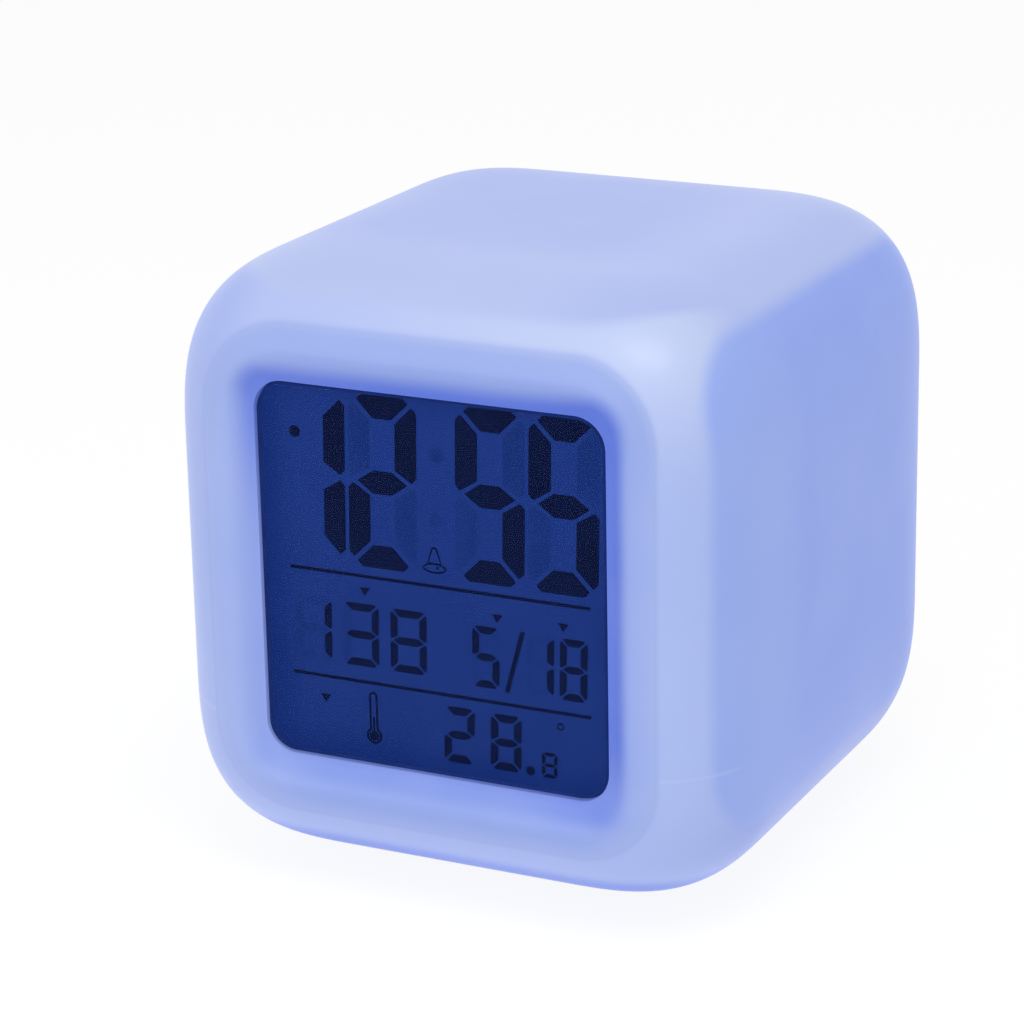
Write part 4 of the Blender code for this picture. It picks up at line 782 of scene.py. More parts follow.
# %% Buttons
first_x = BUTTON_PLACES[0]
cap = rod("button_1", (first_x, 35.3, BUTTON_ROW), 3, 3.9)
pick(cap, "FACE", lambda centre, normal: normal.y > 0.9)
for width, deeper in ((0.9, 0.12), (0.9, 0.1), (0.7, 0.04)):
    inset(width, (0, -deeper, 0))
close_edit()
soften(cap, at("y", 39.2), 0.4, 4)
flange = rod("flange", (first_x, 34.7, BUTTON_ROW), 4, 1)
soften(flange, lambda one, two: near(one.y, two.y), 0.15)
smooth(weld(cap, flange))
buttons = row(cap, "button", [(x, 0, 0) for x in BUTTON_PLACES])
print("buttons:", [piece.name for piece in buttons])

# %% Slide knob
KNOB_OUT = 39.4
knob = block("slide_knob", (5.4, 38.3, 52.7), (8.6, KNOB_OUT, 55.5), "Y", 0.4, 3)
cut(knob, *(block("grip", (x - 0.18, 39.15, 52), (x + 0.18, 40, 56)) for x in (6.2, 7, 7.8)))
soften(knob, at("y", KNOB_OUT), 0.1)
weld(knob, block("stem", (6.2, 31.3, 53.3), (7.8, 38.6, 54.9)))
smooth(knob)
print("knob:", len(knob.data.polygons), "faces")

# %% [markdown]
# ## Screws
# Two sizes of pan-head screw share one shape: a domed head with a cross recess and a threaded
# shank. The thread is a row of small ridges, extruded ring by ring, because a true helix would be
# far heavier and nobody sees the difference inside a boss. One screw of each size is made along Z.

# %% One screw for each size
PITCH = 0.5
RIDGE = 1.22
BACKWARD = (-math.pi / 2, 0, 0)


def make_screw(head, height, shank, length):
    """A screw whose head stands on z = 0, with its shank below."""
    screw = rod("shank", (0, 0, -0.15), shank * 0.9, 0.3, "Z", 16)
    pick(screw, "FACE", lambda centre, normal: normal.z < -0.9)
    turns = int((length - 1.2) / PITCH)
    for i in range(turns):
        extrude((0, 0, -PITCH / 2), RIDGE)
        extrude((0, 0, -PITCH / 2), 1 / RIDGE)
    extrude((0, 0, turns * PITCH - length + 0.15), 0.35)
    close_edit()
    top = rod("screw", (0, 0, 0), head, height, "Z", 32)
    pick(top, "FACE", lambda centre, normal: normal.z > 0.9)
    inset(head * 0.3)
    close_edit()
    soften(top, at("z", height), height * 0.45, 4)
    for x, y in ((head * 0.52, head * 0.13), (head * 0.13, head * 0.52)):
        cut(top, block("cross", (-x, -y, height * 0.42), (x, y, height + 1)))
    return smooth(weld(top, screw))


cover_screw = make_screw(1.9, 1.0, 0.8, 6.5)
small_screw = make_screw(1.7, 1.2, 0.7, 6.0)
screws = {}
for node_stem, stem, pattern, turn, places in (
    ("cover_screw", "rear_screw", cover_screw, BACKWARD, [(x, 36.9, z) for x, z in COVER_SCREWS]),
    ("board_screw", "display_screw", small_screw, BACKWARD, [(x, BOARD_BACK, z) for x, z in BOARD_POSTS]),
    ("chassis_screw", "floor_screw", small_screw, (0, 0, 0), [(-28, -20, 16.3), (28, 14, 16.3)]),
):
    for number, place in enumerate(places, 1):
        screws[f"{node_stem}_{number}"] = copy_of(pattern, f"{stem}_{number}", place, turn)
for pattern in (cover_screw, small_screw):
    bpy.data.objects.remove(pattern)
print("screws:", sorted(screws))

# %% [markdown]
# ## Base plate and feet
# The base stays on the table while the cube above it goes down when pressed. Its flange holds it
# inside the shell's rim. Soft rubber feet with a shallow cup stop it from sliding.

# %% Base plate
BASE_LOW, BASE_TOP = 1.5, 6.8
FOOT_PLACES = [(side * 15, level * 17) for side, level in CORNERS]
SPRING_PLACES = [(side * 17, level * 18) for side, level in CORNERS]
base = block("base_tray", (-22, -24, BASE_LOW), (22, 24, BASE_TOP), "Z", 6, 10)
soften(base, at("z", BASE_LOW), 0.5, 3)
sunk_panel = block("sunk panel", (-9, -11, 1), (9, 11, 1.8), "Z", 3, 6)
cut(base, rods([(x, y, 1) for x, y in FOOT_PLACES], 4.4, 0.8, "Z"), sunk_panel)
weld(base, rods([(x, y, BASE_LOW) for x, y in FOOT_PLACES], 3.9, 1, "Z"))
weld(base, block("flange", (-24, -26, 5.3), (24, 26, BASE_TOP), "Z", 8, 10))
pins = rods([(x, y, 6) for x, y in SPRING_PLACES], 1.5, 2.1, "Z", 24)
weld(base, pins, rod("snooze boss", (0, 0, 6), 3, 2.3, "Z", 32))
smooth(base)
print("base:", in_mm(base.dimensions))

# %% Feet
foot = rod("rubber_foot_1", (*FOOT_PLACES[0], 0), 4, 1.2, "Z")
pick(foot, "FACE", lambda centre, normal: normal.z < -0.9)
inset(0.9)
inset(0.3, (0, 0, 0.25))
close_edit()
on_rim = at("z", 0)
soften(foot, lambda one, two: on_rim(one, two) and math.dist(one.xy, FOOT_PLACES[0]) > 3.9, 0.3, 3)
smooth(foot)
feet = row(foot, "rubber_foot", [(x, y, 0) for x, y in FOOT_PLACES])
print("feet:", len(feet))

# %% [markdown]
# ## Battery cells
# Three slim cells lie head to tail. Each is a metal can in a thin sleeve that is shrunk over its
# shoulders, with a nub on its plus end. The cell is a cylinder whose ends are inset and extruded.

# %% Cells
CELL_RADIUS = 5.25
CELL_Y = 30.85
CELL_LEVELS = (20.85, 31.95, 43.05)
CELL_BODY = 43.5
CELL_FLAT_END = 20.5
CELL_BAND = 11.5
CELL_SLEEVE_END = 4.45
CELL_DIRECTIONS = (1, -1, 1)


def make_cell(name, level, direction):
    """A cell along X. Its plus end points in the direction, and its flat end the other way."""
    flat_end = -direction * CELL_FLAT_END
    left = min(flat_end, flat_end + direction * CELL_BODY)
    cell = rod(name, (left, CELL_Y, level), CELL_RADIUS, CELL_BODY, "X", 64)
    soften(cell, lambda one, two: near(one.x, two.x), 0.45, 4)
    pick(cell, "FACE", lambda centre, normal: True)
    bpy.ops.mesh.bisect(plane_co=(direction * CELL_BAND * MM, 0, 0), plane_no=AXES["X"])
    close_edit()
    pick(cell, "FACE", lambda centre, normal: normal.x * direction > 0.99)
    inset(0.5)
    inset(0.12, (-direction * 0.25, 0, 0))
    inset(2.3)
    extrude((direction * 0.95, 0, 0))
    inset(0.25, (direction * 0.3, 0, 0))
    close_edit()
    pick(cell, "FACE", lambda centre, normal: normal.x * direction < -0.99)
    inset(0.5)
    inset(0.12, (direction * 0.2, 0, 0))
    close_edit()
    return smooth(cell)


cells = []
for number, (level, direction) in enumerate(zip(CELL_LEVELS, CELL_DIRECTIONS), 1):
    cells.append(make_cell(f"slim_cell_{number}", level, direction))
    low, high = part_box(f"battery_cell_{number}")
    print("cell", number, in_mm(cells[-1].dimensions), "its node", in_mm(high - low))

# %% [markdown]
# ## Springs and contacts
# A spring is a wire along a helix. A curve with a round bevel follows it smoothly and is made a
# mesh. The plus and minus contacts are thin plates, and each minus side has a cone-shaped coil.

# %% Springs
def wire(name, spots, radius):
    """A round wire that follows its spots."""
    made = curve_mesh(
        name, [spots], False, dimensions="3D", bevel_depth=radius * MM, bevel_resolution=3,
        use_fill_caps=True)
    return smooth(made, 60)


def coil(name, centre, axis, length, first_radius, last_radius, turns, radius, steps=20):
    """A wire that winds round an axis from a centre, and may narrow."""
    along = AXES[axis] * math.copysign(1, length)
    side = AXES["Y"]
    other = along.cross(side)
    spots = []
    for i in range(turns * steps + 1):
        share = i / (turns * steps)
        turn = 2 * math.pi * i / steps
        reach = first_radius + (last_radius - first_radius) * share
        out = (side * math.cos(turn) + other * math.sin(turn)) * reach
        spots.append(Vector(centre) + along * abs(length) * share + out)
    return wire(name, spots, radius)


SPRING_LOW = 7.1
SPRING_REACH = 2.2
springs = []
for number, (x, y) in enumerate(SPRING_PLACES, 1):
    centre = (x, y, SPRING_LOW + 0.3)
    springs.append(coil(f"spring_{number}", centre, "Z", 6.4, SPRING_REACH, SPRING_REACH, 6, 0.27))
print("springs:", in_mm(springs[0].dimensions))

# %% Contacts
CONTACTS = ((-1, (0,), (0,)), (1, (0, 1), (1,)), (-1, (1, 2), (2,)), (1, (2,), ()))
contacts = []
for number, (side, levels, coils) in enumerate(CONTACTS, 1):
    left, right = sorted((side * 24.3, side * 24.7))
    low, high = CELL_LEVELS[levels[0]] - 3.5, CELL_LEVELS[levels[-1]] + 3.5
    name = f"cell_contact_{number}"
    pieces = [block(name, (left, 26.85, low), (right, 34.85, high), "X", 1, 4)]
    for i in coils:
        pieces.append(coil("coil", (side * 24.35, CELL_Y, CELL_LEVELS[i]), "X", -side * 3.3, 3, 2, 3, 0.22))
    contacts.append(smooth(together(pieces, name)))
print("contacts:", [piece.name for piece in contacts])

# %% [markdown]
# ## Lamps, chip, switches and sounder
# Small parts on the boards repeat, so each is modelled once and copied. A lamp is a clear cylinder with
# a rim whose top edge gets a bevel nearly as wide as its radius, which makes the dome. A push switch
# has a plastic body under a thin steel plate that four rivets hold.

# %% Lamps and chip
LAMP_FOOT = 18.8
LAMP_HEIGHT = 6.2
LAMP_Y = -4
LAMP_PLACES = (-11, 0, 11)
lamp_x = LAMP_PLACES[0]
lamp = rod("glow_lamp_1", (lamp_x, LAMP_Y, LAMP_FOOT), 2.5, LAMP_HEIGHT, "Z", 40)
soften(lamp, at("z", LAMP_FOOT + LAMP_HEIGHT), 2.4, 8)
rim = rod("rim", (lamp_x, LAMP_Y, LAMP_FOOT), 2.9, 1, "Z", 40)
cut(rim, block("flat", (lamp_x + 2.55, -8, 18), (lamp_x + 4, 0, 21)))
smooth(weld(lamp, rim))
lamps = row(lamp, "glow_lamp", [(x, 0, 0) for x in LAMP_PLACES])

CHIP_HEIGHT = 1.8
chip = rod("sealed_chip", (0, BOARD_BACK, WINDOW_MIDDLE), 6.5, CHIP_HEIGHT, sides=64)
soften(chip, at("y", BOARD_BACK + CHIP_HEIGHT), 1.7, 8)
pick(chip, "FACE", lambda centre, normal: normal.y > 0.99)
bpy.ops.mesh.inset(thickness=2.4 * MM)
bpy.ops.transform.resize(value=(0.85, 1, 0.9))
bpy.ops.transform.translate(value=(0.1 * MM, -0.12 * MM, 0))
close_edit()
smooth(chip)
print("lamps:", len(lamps), "chip faces:", len(chip.data.polygons))

# %% Push switches and sounder
SWITCH_FOOT = 29
SWITCH_PLATE = 3.05
pattern = block("push switch", (-3, -3, 0), (3, 3, 3.1), "Z", 0.25, 2)
weld(pattern, block("plate", (-2.9, -2.9, 3), (2.9, 2.9, 3.3), "Z", 0.5, 3))
weld(pattern, rods([(side * 2.2, level * 2.2, 3.2) for side, level in CORNERS], 0.45, 0.28, "Z", 16))
cut(pattern, rod("hole", (0, 0, 1.2), 1.6, 3, "Z", 32))
smooth(pattern)
switches = {}
for number, x in enumerate(BUTTON_PLACES, 1):
    place = (x, SWITCH_FOOT, BUTTON_ROW)
    switches[f"button_switch_{number}"] = copy_of(pattern, f"push_switch_{number}", place, BACKWARD)
snooze_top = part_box("snooze_switch")[1].z / MM
switches["snooze_switch"] = copy_of(pattern, "snooze_push_switch", (0, 0, snooze_top), (math.pi, 0, 0))
bpy.data.objects.remove(pattern)

SOUNDER_X, SOUNDER_Z = -8, 57.75
low, high = (corner.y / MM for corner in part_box("sounder"))
sounder = rod("sounder_can", (SOUNDER_X, low, SOUNDER_Z), 5.8, high - low, sides=64)
soften(sounder, at("y", low), 0.5, 4)
groove = rod("groove", (SOUNDER_X, low + 1.6, SOUNDER_Z), 7, 0.3, sides=64)
cut(sounder, cut(groove, rod("groove core", (SOUNDER_X, low, SOUNDER_Z), 5.6, 4, sides=64)))
cut(sounder, rod("sound hole", (SOUNDER_X, low - 1, SOUNDER_Z), 0.75, 3.5, sides=24))
smooth(sounder)
print("switches:", sorted(switches), "sounder faces:", len(sounder.data.polygons))

# %% [markdown]
# ## Ribbon and battery lead
# Both leads hang between two level ends. The ribbon is eight insulated wires side by side, with a
# thin skin between each two. The battery lead is two wires twisted together.

# %% Leads
LEAD_STEPS = 48
RIBBON_X = 8
LEAD_X = -16
LEAD_HEIGHT = WINDOW_MIDDLE - 6.2


def hanging(start, end, sag):
    """Points between two ends that leave them level and dip by the sag between them."""
    points = []
    for i in range(LEAD_STEPS + 1):
        share = i / LEAD_STEPS
        height = start.z + (end.z - start.z) * ease(share) - sag * math.sin(math.pi * share) ** 2
        points.append(Vector((start.x, start.y + (end.y - start.y) * share, height)))
    return points


rear_end = Vector((RIBBON_X, 27.2, SWITCH_ROW))
path = hanging(rear_end, Vector((RIBBON_X, BOARD_BACK, WINDOW_MIDDLE + 9.8)), 5)
ribbon = []
for name, left, radius, count in (("wire", -3.5, 0.3, 8), ("skin", -3, 0.22, 7)):
    first = wire(name, [spot + Vector((left, 0, 0)) for spot in path], radius)
    if name == "skin":
        pick(first, "FACE", lambda centre, normal: True)
        bpy.ops.transform.resize(value=(1.8, 1, 1), center_override=((RIBBON_X + left) * MM, 0, 0))
        close_edit()
    ribbon += row(first, name, [(i, 0, 0) for i in range(count)])
ribbon = together(ribbon, "ribbon_wires")

rear_end = Vector((LEAD_X, POCKET_FLOOR - POCKET_WALL - 0.1, LEAD_HEIGHT))
path = hanging(rear_end, Vector((LEAD_X, BOARD_BACK, LEAD_HEIGHT)), 3)
twins = []
for half_turn in (0, math.pi):
    spots = []
    for i, spot in enumerate(path):
        turn = half_turn + 2 * math.pi * i / 12
        spots.append(spot + Vector((math.cos(turn), 0, math.sin(turn))) * 0.34)
    twins.append(wire("lead wire", spots, 0.33))
lead = together(twins, "battery_wires")
for name, piece in (("ribbon_lead", ribbon), ("battery_lead", lead)):
    low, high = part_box(name)
    print(name, "in mm:", in_mm(piece.dimensions), "its node:", in_mm(high - low))

# %% [markdown]
# ## Helpers for finishes
# Colours are written as they look on a screen, so they are made linear first. Every finish below is
# procedural and reads Object coordinates, so its grain has its real size, in mm, on every piece.

# %% Colours and nodes
def linear(hex_colour):
    """A screen colour such as #a7b8ee as linear red, green, blue and alpha."""
    values = [int(hex_colour[i:i + 2], 16) / 255 for i in (1, 3, 5)]
    return [v / 12.92 if v <= 0.04045 else ((v + 0.055) / 1.055) ** 2.4 for v in values] + [1.0]


def put(value, socket):
    """Links another node's output to a socket, or sets the socket to a value."""
    if isinstance(value, bpy.types.NodeSocket):
        socket.id_data.links.new(value, socket)
    else:
        socket.default_value = value


def add_node(tree, kind, inputs=None, **settings):
    """Adds a node, sets it, and fills its sockets with numbers or with other nodes' outputs."""
    made = tree.nodes.new(kind)
    for setting, value in settings.items():
        setattr(made, setting, value)
    for socket, value in (inputs or {}).items():
        put(value, made.inputs[socket])
    return made


def feed(shader, **sockets):
    """Fills a shader's sockets, whose names have _ for a space here."""
    for name, value in sockets.items():
        put(value, shader.inputs[name.replace("_", " ")])


def new_finish(name, **sockets):
    """A material with one shader. Values that are the same all over go on its own sockets."""
    made = bpy.data.materials.new(name)
    made.use_nodes = True
    shader = made.node_tree.nodes["Principled BSDF"]
    feed(shader, **sockets)
    return made, made.node_tree, shader


def maths(operation, *values):
    """One step of arithmetic, in the node tree of its first socket."""
    tree = next(value.id_data for value in values if isinstance(value, bpy.types.NodeSocket))
    return add_node(tree, "ShaderNodeMath", dict(enumerate(values)), operation=operation).outputs[0]


def masked(mask, value, strength=1.0):
    """A mask times another, times a strength."""
    return maths("MULTIPLY", maths("MULTIPLY", mask, value), strength)


def fade(value, begin, end, low=0.0, high=1.0):
    """A soft step of a value, from low at begin to high at end."""
    inputs = {"Value": value, "From Min": begin, "From Max": end, "To Min": low, "To Max": high}
    return add_node(value.id_data, "ShaderNodeMapRange", inputs, interpolation_type="SMOOTHSTEP").outputs[0]


def blend(share, one, two):
    """Mixes two colours. Each is a hex colour or a node's output."""
    one, two = (linear(colour) if isinstance(colour, str) else colour for colour in (one, two))
    return add_node(share.id_data, "ShaderNodeMix", {0: share, 6: one, 7: two}, data_type="RGBA").outputs[2]


def scaled(value, factor):
    inputs = {0: value, "Scale": factor}
    return add_node(value.id_data, "ShaderNodeVectorMath", inputs, operation="SCALE").outputs[0]


def position(tree):
    """The x, y and z of a point, in mm."""
    spot = add_node(tree, "ShaderNodeTexCoord").outputs["Object"]
    return add_node(tree, "ShaderNodeSeparateXYZ", {0: scaled(spot, 1 / MM)}).outputs


def noise(tree, size, detail=2.0, roughness=0.5):
    """Soft noise whose grains are about size mm across."""
    spot = add_node(tree, "ShaderNodeTexCoord").outputs["Object"]
    inputs = {"Vector": spot, "Scale": 1 / (size * MM), "Detail": detail, "Roughness": roughness}
    return add_node(tree, "ShaderNodeTexNoise", inputs).outputs[0]


def bump(shader, height, distance, strength):
    """Lets a height ruffle the surface by a real distance, in mm."""
    inputs = {"Height": height, "Distance": distance * MM, "Strength": strength}
    feed(shader, Normal=add_node(shader.id_data, "ShaderNodeBump", inputs).outputs[0])


def round_distance(across, up, half_across, half_up, corner):
    """Distance to the outline of a rectangle with round corners, less than 0 inside it."""
    past = []
    for value, half in ((across, half_across), (up, half_up)):
        past.append(maths("SUBTRACT", maths("ABSOLUTE", value), half - corner))
    inside = maths("MINIMUM", maths("MAXIMUM", *past), 0.0)
    squares = []
    for value in past:
        outside = maths("MAXIMUM", value, 0.0)
        squares.append(maths("MULTIPLY", outside, outside))
    outside = maths("SQRT", maths("ADD", *squares))
    return maths("SUBTRACT", maths("ADD", outside, inside), corner)


# %% Dress a piece
def dress(piece, finishes, body, slot, *nodes):
    """Gives a piece its finishes and its body, and hides the nodes it stands for. The slot is not used."""
    piece.data.materials.clear()
    for finish in finishes:
        piece.data.materials.append(finish)
    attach(piece, body)
    if nodes:
        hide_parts(*nodes)


def share_out(piece, which):
    """Gives each face one of the piece's finishes, from its centre and its normal."""
    for face in piece.data.polygons:
        face.material_index = int(which(face.center / MM, face.normal))


print("pale blue, linear:", [round(value, 3) for value in linear("#a7b8ee")])

# %% [markdown]
# ## Milky shell plastic
# The lamps inside light the milky plastic unevenly. It is bluest and darkest close to the window: a painted
# shadow where the dark display holds the light back, deepest along the top and right of the dip. It is bluer
# on the sides than in front. Each face shows as a panel with round corners, and the soft edges between the
# panels are paler and
# palest on top: painted light from above, with a painted highlight towards the top right corner.
# Real lamps inside a scattering shell would take very long to render and could not be exported.
# So the glow, and the light and shade on it, are painted by place on the shell, and part of it is emission,
# part plain colour.

# %% Where a point of the shell lies
GLOW_SHARE = 0.42
SIDE_MIDDLE = 44.2
SEAM_LEVEL = 22.6
milky, tree, shader = new_finish("milky shell plastic", Roughness=0.36, IOR=1.46, Specular_IOR_Level=0.3)
x, y, z = position(tree)
from_middle = maths("SUBTRACT", z, SIDE_MIDDLE)
from_window = maths("SUBTRACT", z, WINDOW_MIDDLE)
at_front = fade(y, -30, -34)
at_side = fade(maths("ABSOLUTE", x), 30, 33.5)
at_top = fade(z, 70, 74)
print("a point of the shell is read by", len(tree.nodes), "nodes")

# %% Soft edges, then the panels between them
# Painted light: the soft edges get paler upwards, palest on top and towards the right, where light from
# above and the highlight fall.
painted_light_edge = blend(fade(x, -25, 25), "#b0bfee", "#bfccf1")
colour = blend(fade(z, 56, 75), "#abbdf1", painted_light_edge)
colour = blend(fade(z, 34, 10), colour, "#abbcf1")
colour = blend(fade(z, 8.5, 5.5), colour, "#6f8ae6")
left_edge = fade(x, -22, -30)
right_edge = masked(fade(x, 24, 31), fade(y, -31, -20), 0.75)
side_share = masked(maths("MAXIMUM", left_edge, right_edge), fade(z, 20, 60, 0.5, 0.9))
colour = blend(side_share, colour, "#a1b2eb")
low_side = masked(fade(x, 29, 36), fade(z, 20, 13))
colour = blend(masked(low_side, fade(y, -36, -24), 0.9), colour, "#94a6e9")

top_edge = round_distance(x, y, 31.5, 34.6, 14.5)
front_edge = round_distance(x, from_window, 30.1, 31.2, 10.8)
side_edge = round_distance(y, from_middle, 34.4, 30.6, 9.5)
# The top panel is paler at its front and its right: painted light from the lamps. The front panel is darker
# near its top: painted shade that evens out the overhead lamp. The side panel gets darker towards the back.
top_colour = blend(fade(y, -36, -8), "#b3c1eb", "#9fafe7")
top_colour = blend(fade(x, 8, 26, 0.0, 0.9), top_colour, "#abbaec")
front_colour = blend(fade(from_window, 12, 26), "#a2b4ec", "#9aade6")
side_colour = blend(fade(y, -30, -12), "#99aff1", "#8ba3ef")
for edge, softness, facing, panel_colour in (
    (top_edge, 1.2, at_top, top_colour),
    (front_edge, 0.9, at_front, front_colour),
    (side_edge, 1.1, at_side, side_colour),
):
    panel = masked(fade(edge, softness, -softness), facing)
    colour = blend(panel, colour, panel_colour)
front_line = fade(maths("ABSOLUTE", front_edge), 0.5, 0.0)
colour = blend(masked(front_line, at_front, 0.2), colour, "#8e9fe0")
# A thin pale line at the seam's height, outside the front panel: partly the mould's parting seam, partly a
# painted highlight where the shading of the round turns.
seam_highlight = maths("ABSOLUTE", maths("SUBTRACT", z, SEAM_LEVEL))
outside = masked(fade(front_edge, 0.0, 0.4), fade(y, -29, -33))
colour = blend(masked(fade(seam_highlight, 0.35, 0.0), outside, 0.25), colour, "#c6d1f5")
print("with its panels:", len(tree.nodes), "nodes")

# %% Painted shadow round the window
# Painted shadow: darker, bluer bands round the window where the display holds the lamps' light back, deepest
# at the top and right of the dip and lightest at its lower left.
wide_edge = round_distance(x, from_window, WINDOW_WIDTH / 2, WINDOW_HEIGHT / 2, 6)
wide_window_shadow = masked(fade(wide_edge, 7.5, 0.0), at_front)
colour = blend(masked(wide_window_shadow, fade(x, -28, -12, 0.12, 0.62)), colour, "#8299e8")
below = masked(fade(from_window, -23, -26), fade(x, -28, -8, 0.2, 0.6))
colour = blend(masked(fade(wide_edge, 7.5, 1), below), colour, "#859be4")
close_edge = round_distance(x, from_window, WINDOW_WIDTH / 2, WINDOW_HEIGHT / 2, 1.5)
close_end = maths("SUBTRACT", close_edge, fade(x, 12, 26, 2.5, 3.3))
slant = maths("ADD", from_window, maths("MULTIPLY", x, 1.2))
low_right = masked(fade(from_window, -14, -24), fade(x, -5, 24), 0.5)
close_share = maths("SUBTRACT", fade(slant, -30, 2, 0.3, 1.0), low_right)
close_window_shadow = masked(fade(close_end, 0.7, -2.3), at_front)
colour = blend(masked(close_window_shadow, close_share), colour, "#5c78de")
colour = blend(fade(noise(tree, 18, 3.0), 0.35, 0.75, 0.0, 0.06), colour, "#d3ddf8")

feed(shader, Base_Color=scaled(colour, 1 - GLOW_SHARE))
feed(shader, Emission_Color=scaled(colour, GLOW_SHARE), Emission_Strength=1.0)
bump(shader, noise(tree, 0.5), 0.004, 0.6)
dress(shell, [milky], "housing", "shell_plastic", "shell")
print("shell finish:", len(tree.nodes), "nodes")

# %% [markdown]
# ## Lens and display finishes
# The lens is clear, so only a little of it shows. The display lights itself: its back light is
# deep blue, and the figures block most of it. Both are therefore mostly emission.

# %% Lens finish
SELF_LIT = {"Specular_IOR_Level": 0.02, "Emission_Strength": 1.0}
clear, tree, shader = new_finish(
    "clear lens plastic", Base_Color=linear("#1c3274"), Roughness=0.05, Alpha=0.03, IOR=1.49)
bump(shader, noise(tree, 3), 0.002, 0.3)
# The print also gives off a dim blue: painted light of the display's back light shining on it.
printed, tree, shader = new_finish("dark printed lens edge", Roughness=0.4, **SELF_LIT)
shade = fade(noise(tree, 4), 0.3, 0.7)
feed(shader, Base_Color=blend(shade, "#0c1636", "#101c44"))
feed(shader, Emission_Color=blend(shade, "#14245a", "#162862"))
dress(lens, [clear, printed], "housing", "lens_plastic", "window_lens")
share_out(lens, lambda centre, normal: abs(normal.y) <= 0.9 or abs(centre.y - LENS_FLANGE_FRONT) <= 0.1)
print("lens faces printed:", sum(face.material_index for face in lens.data.polygons))

# %% Display finish
backlit, tree, shader = new_finish("backlit display", Roughness=0.3, **SELF_LIT)
x, y, z = position(tree)
from_window = maths("SUBTRACT", z, WINDOW_MIDDLE)
# Painted shade: the back light is darker along the window's edge, under the lens's rim. It is also a little
# darker towards the bottom.
rim = fade(round_distance(x, from_window, 24, 24.5, 6), -5, 0.5)
down = fade(from_window, 20, -22)
glow = blend(down, "#17327c", "#142e74")
glow = blend(maths("MULTIPLY", rim, 0.5), glow, "#102462")
glow = blend(fade(noise(tree, 9), 0.3, 0.7, 0.0, 0.12), glow, "#1f3f90")
feed(shader, Emission_Color=glow, Base_Color=blend(down, "#060b1c", "#050918"))
dress(glass, [backlit], "housing", "display_glass", "lcd_glass")
for piece, name, dark, darker in (
    (figures, "lit display bars", "#050f33", "#040c2e"),
    (unlit_figures, "unlit display bars", "#163178", "#132d70"),
):
    made, tree, shader = new_finish(name, Base_Color=linear("#02040c"), Roughness=0.35, **SELF_LIT)
    feed(shader, Emission_Color=blend(fade(noise(tree, 6), 0.3, 0.7), dark, darker))
    dress(piece, [made], "housing", "display_glass")
print("display dressed")

# %% [markdown]
# ## Finishes for the parts inside and behind
# A few nodes are plain boards, sheets and plungers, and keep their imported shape. They and all other
# pieces get finishes with their real grain.

# %% Moulded plastic, rubber, board and metal
def moulded(name, colour, paler, roughness, grain=0.3, depth=0.006):
    """Moulded plastic or rubber with a fine spark-eroded skin and slightly uneven colour."""
    made, tree, shader = new_finish(name, Roughness=roughness)
    feed(shader, Base_Color=blend(fade(noise(tree, 14, 3.0), 0.3, 0.7), colour, paler))
    bump(shader, noise(tree, grain, 3.0, 0.6), depth, 0.7)
    return made


def metal(name, colour, paler, roughness):
    """Bare or painted metal, brushed a little unevenly by handling."""
    made, tree, shader = new_finish(name, Metallic=1.0)
    worn = fade(noise(tree, 1.2), 0.25, 0.75, roughness, roughness + 0.08)
    feed(shader, Base_Color=blend(fade(noise(tree, 4, 3.0), 0.25, 0.75), colour, paler), Roughness=worn)
    bump(shader, noise(tree, 0.25), 0.002, 0.15)
    return made


def circuit_board(name, up):
    """Green lacquer over copper tracks, with tinned pads. The board's plane is x and the axis up."""
    made, tree, shader = new_finish(name, Roughness=0.38)
    flat = add_node(tree, "ShaderNodeCombineXYZ", {0: position(tree)["X"], 1: position(tree)[up]}).outputs[0]
    patterns = []
    for size, uneven, kind in ((6, 0.85, "CHEBYCHEV"), (2.6, 0.35, "EUCLIDEAN")):
        inputs = {"Vector": flat, "Scale": 1 / size, "Randomness": uneven}
        pattern = add_node(tree, "ShaderNodeTexVoronoi", inputs, distance=kind, voronoi_dimensions="2D")
        patterns.append(pattern.outputs["Distance"])
    squares, dots = patterns
    tracks = fade(maths("PINGPONG", squares, 0.11), 0.06, 0.075)
    pads = maths("MULTIPLY", fade(dots, 0.17, 0.13), fade(noise(tree, 9, 1.0), 0.52, 0.56))
    colour = blend(tracks, "#135a38", "#1f7a4d")
    colour = blend(fade(noise(tree, 12), 0.3, 0.7, 0.0, 0.2), colour, "#0f4a30")
    feed(shader, Base_Color=blend(pads, colour, "#c9cbc9"), Metallic=pads)
    bump(shader, maths("ADD", tracks, pads), 0.02, 0.6)
    return made


def glowing(name, colour, glow_colour, strength, size):
    """A part that the lamps light up from inside, a little unevenly."""
    made, tree, shader = new_finish(name, Roughness=0.25, Emission_Strength=strength)
    share = fade(noise(tree, size, 3.0), 0.3, 0.7)
    feed(shader, Base_Color=blend(share, colour, glow_colour))
    feed(shader, Emission_Color=blend(share, glow_colour, colour))
    bump(shader, noise(tree, 0.3), 0.004, 0.4)
    return made


def striped_rubber(name):
    """Thin conducting and insulating slices, which join the display to its board."""
    made, tree, shader = new_finish(name, Roughness=0.7)
    slices = maths("PINGPONG", position(tree)["X"], 0.35)
    feed(shader, Base_Color=blend(fade(slices, 0.14, 0.2), "#24252a", "#c2778c"))
    bump(shader, noise(tree, 0.2), 0.004, 0.5)
    return made


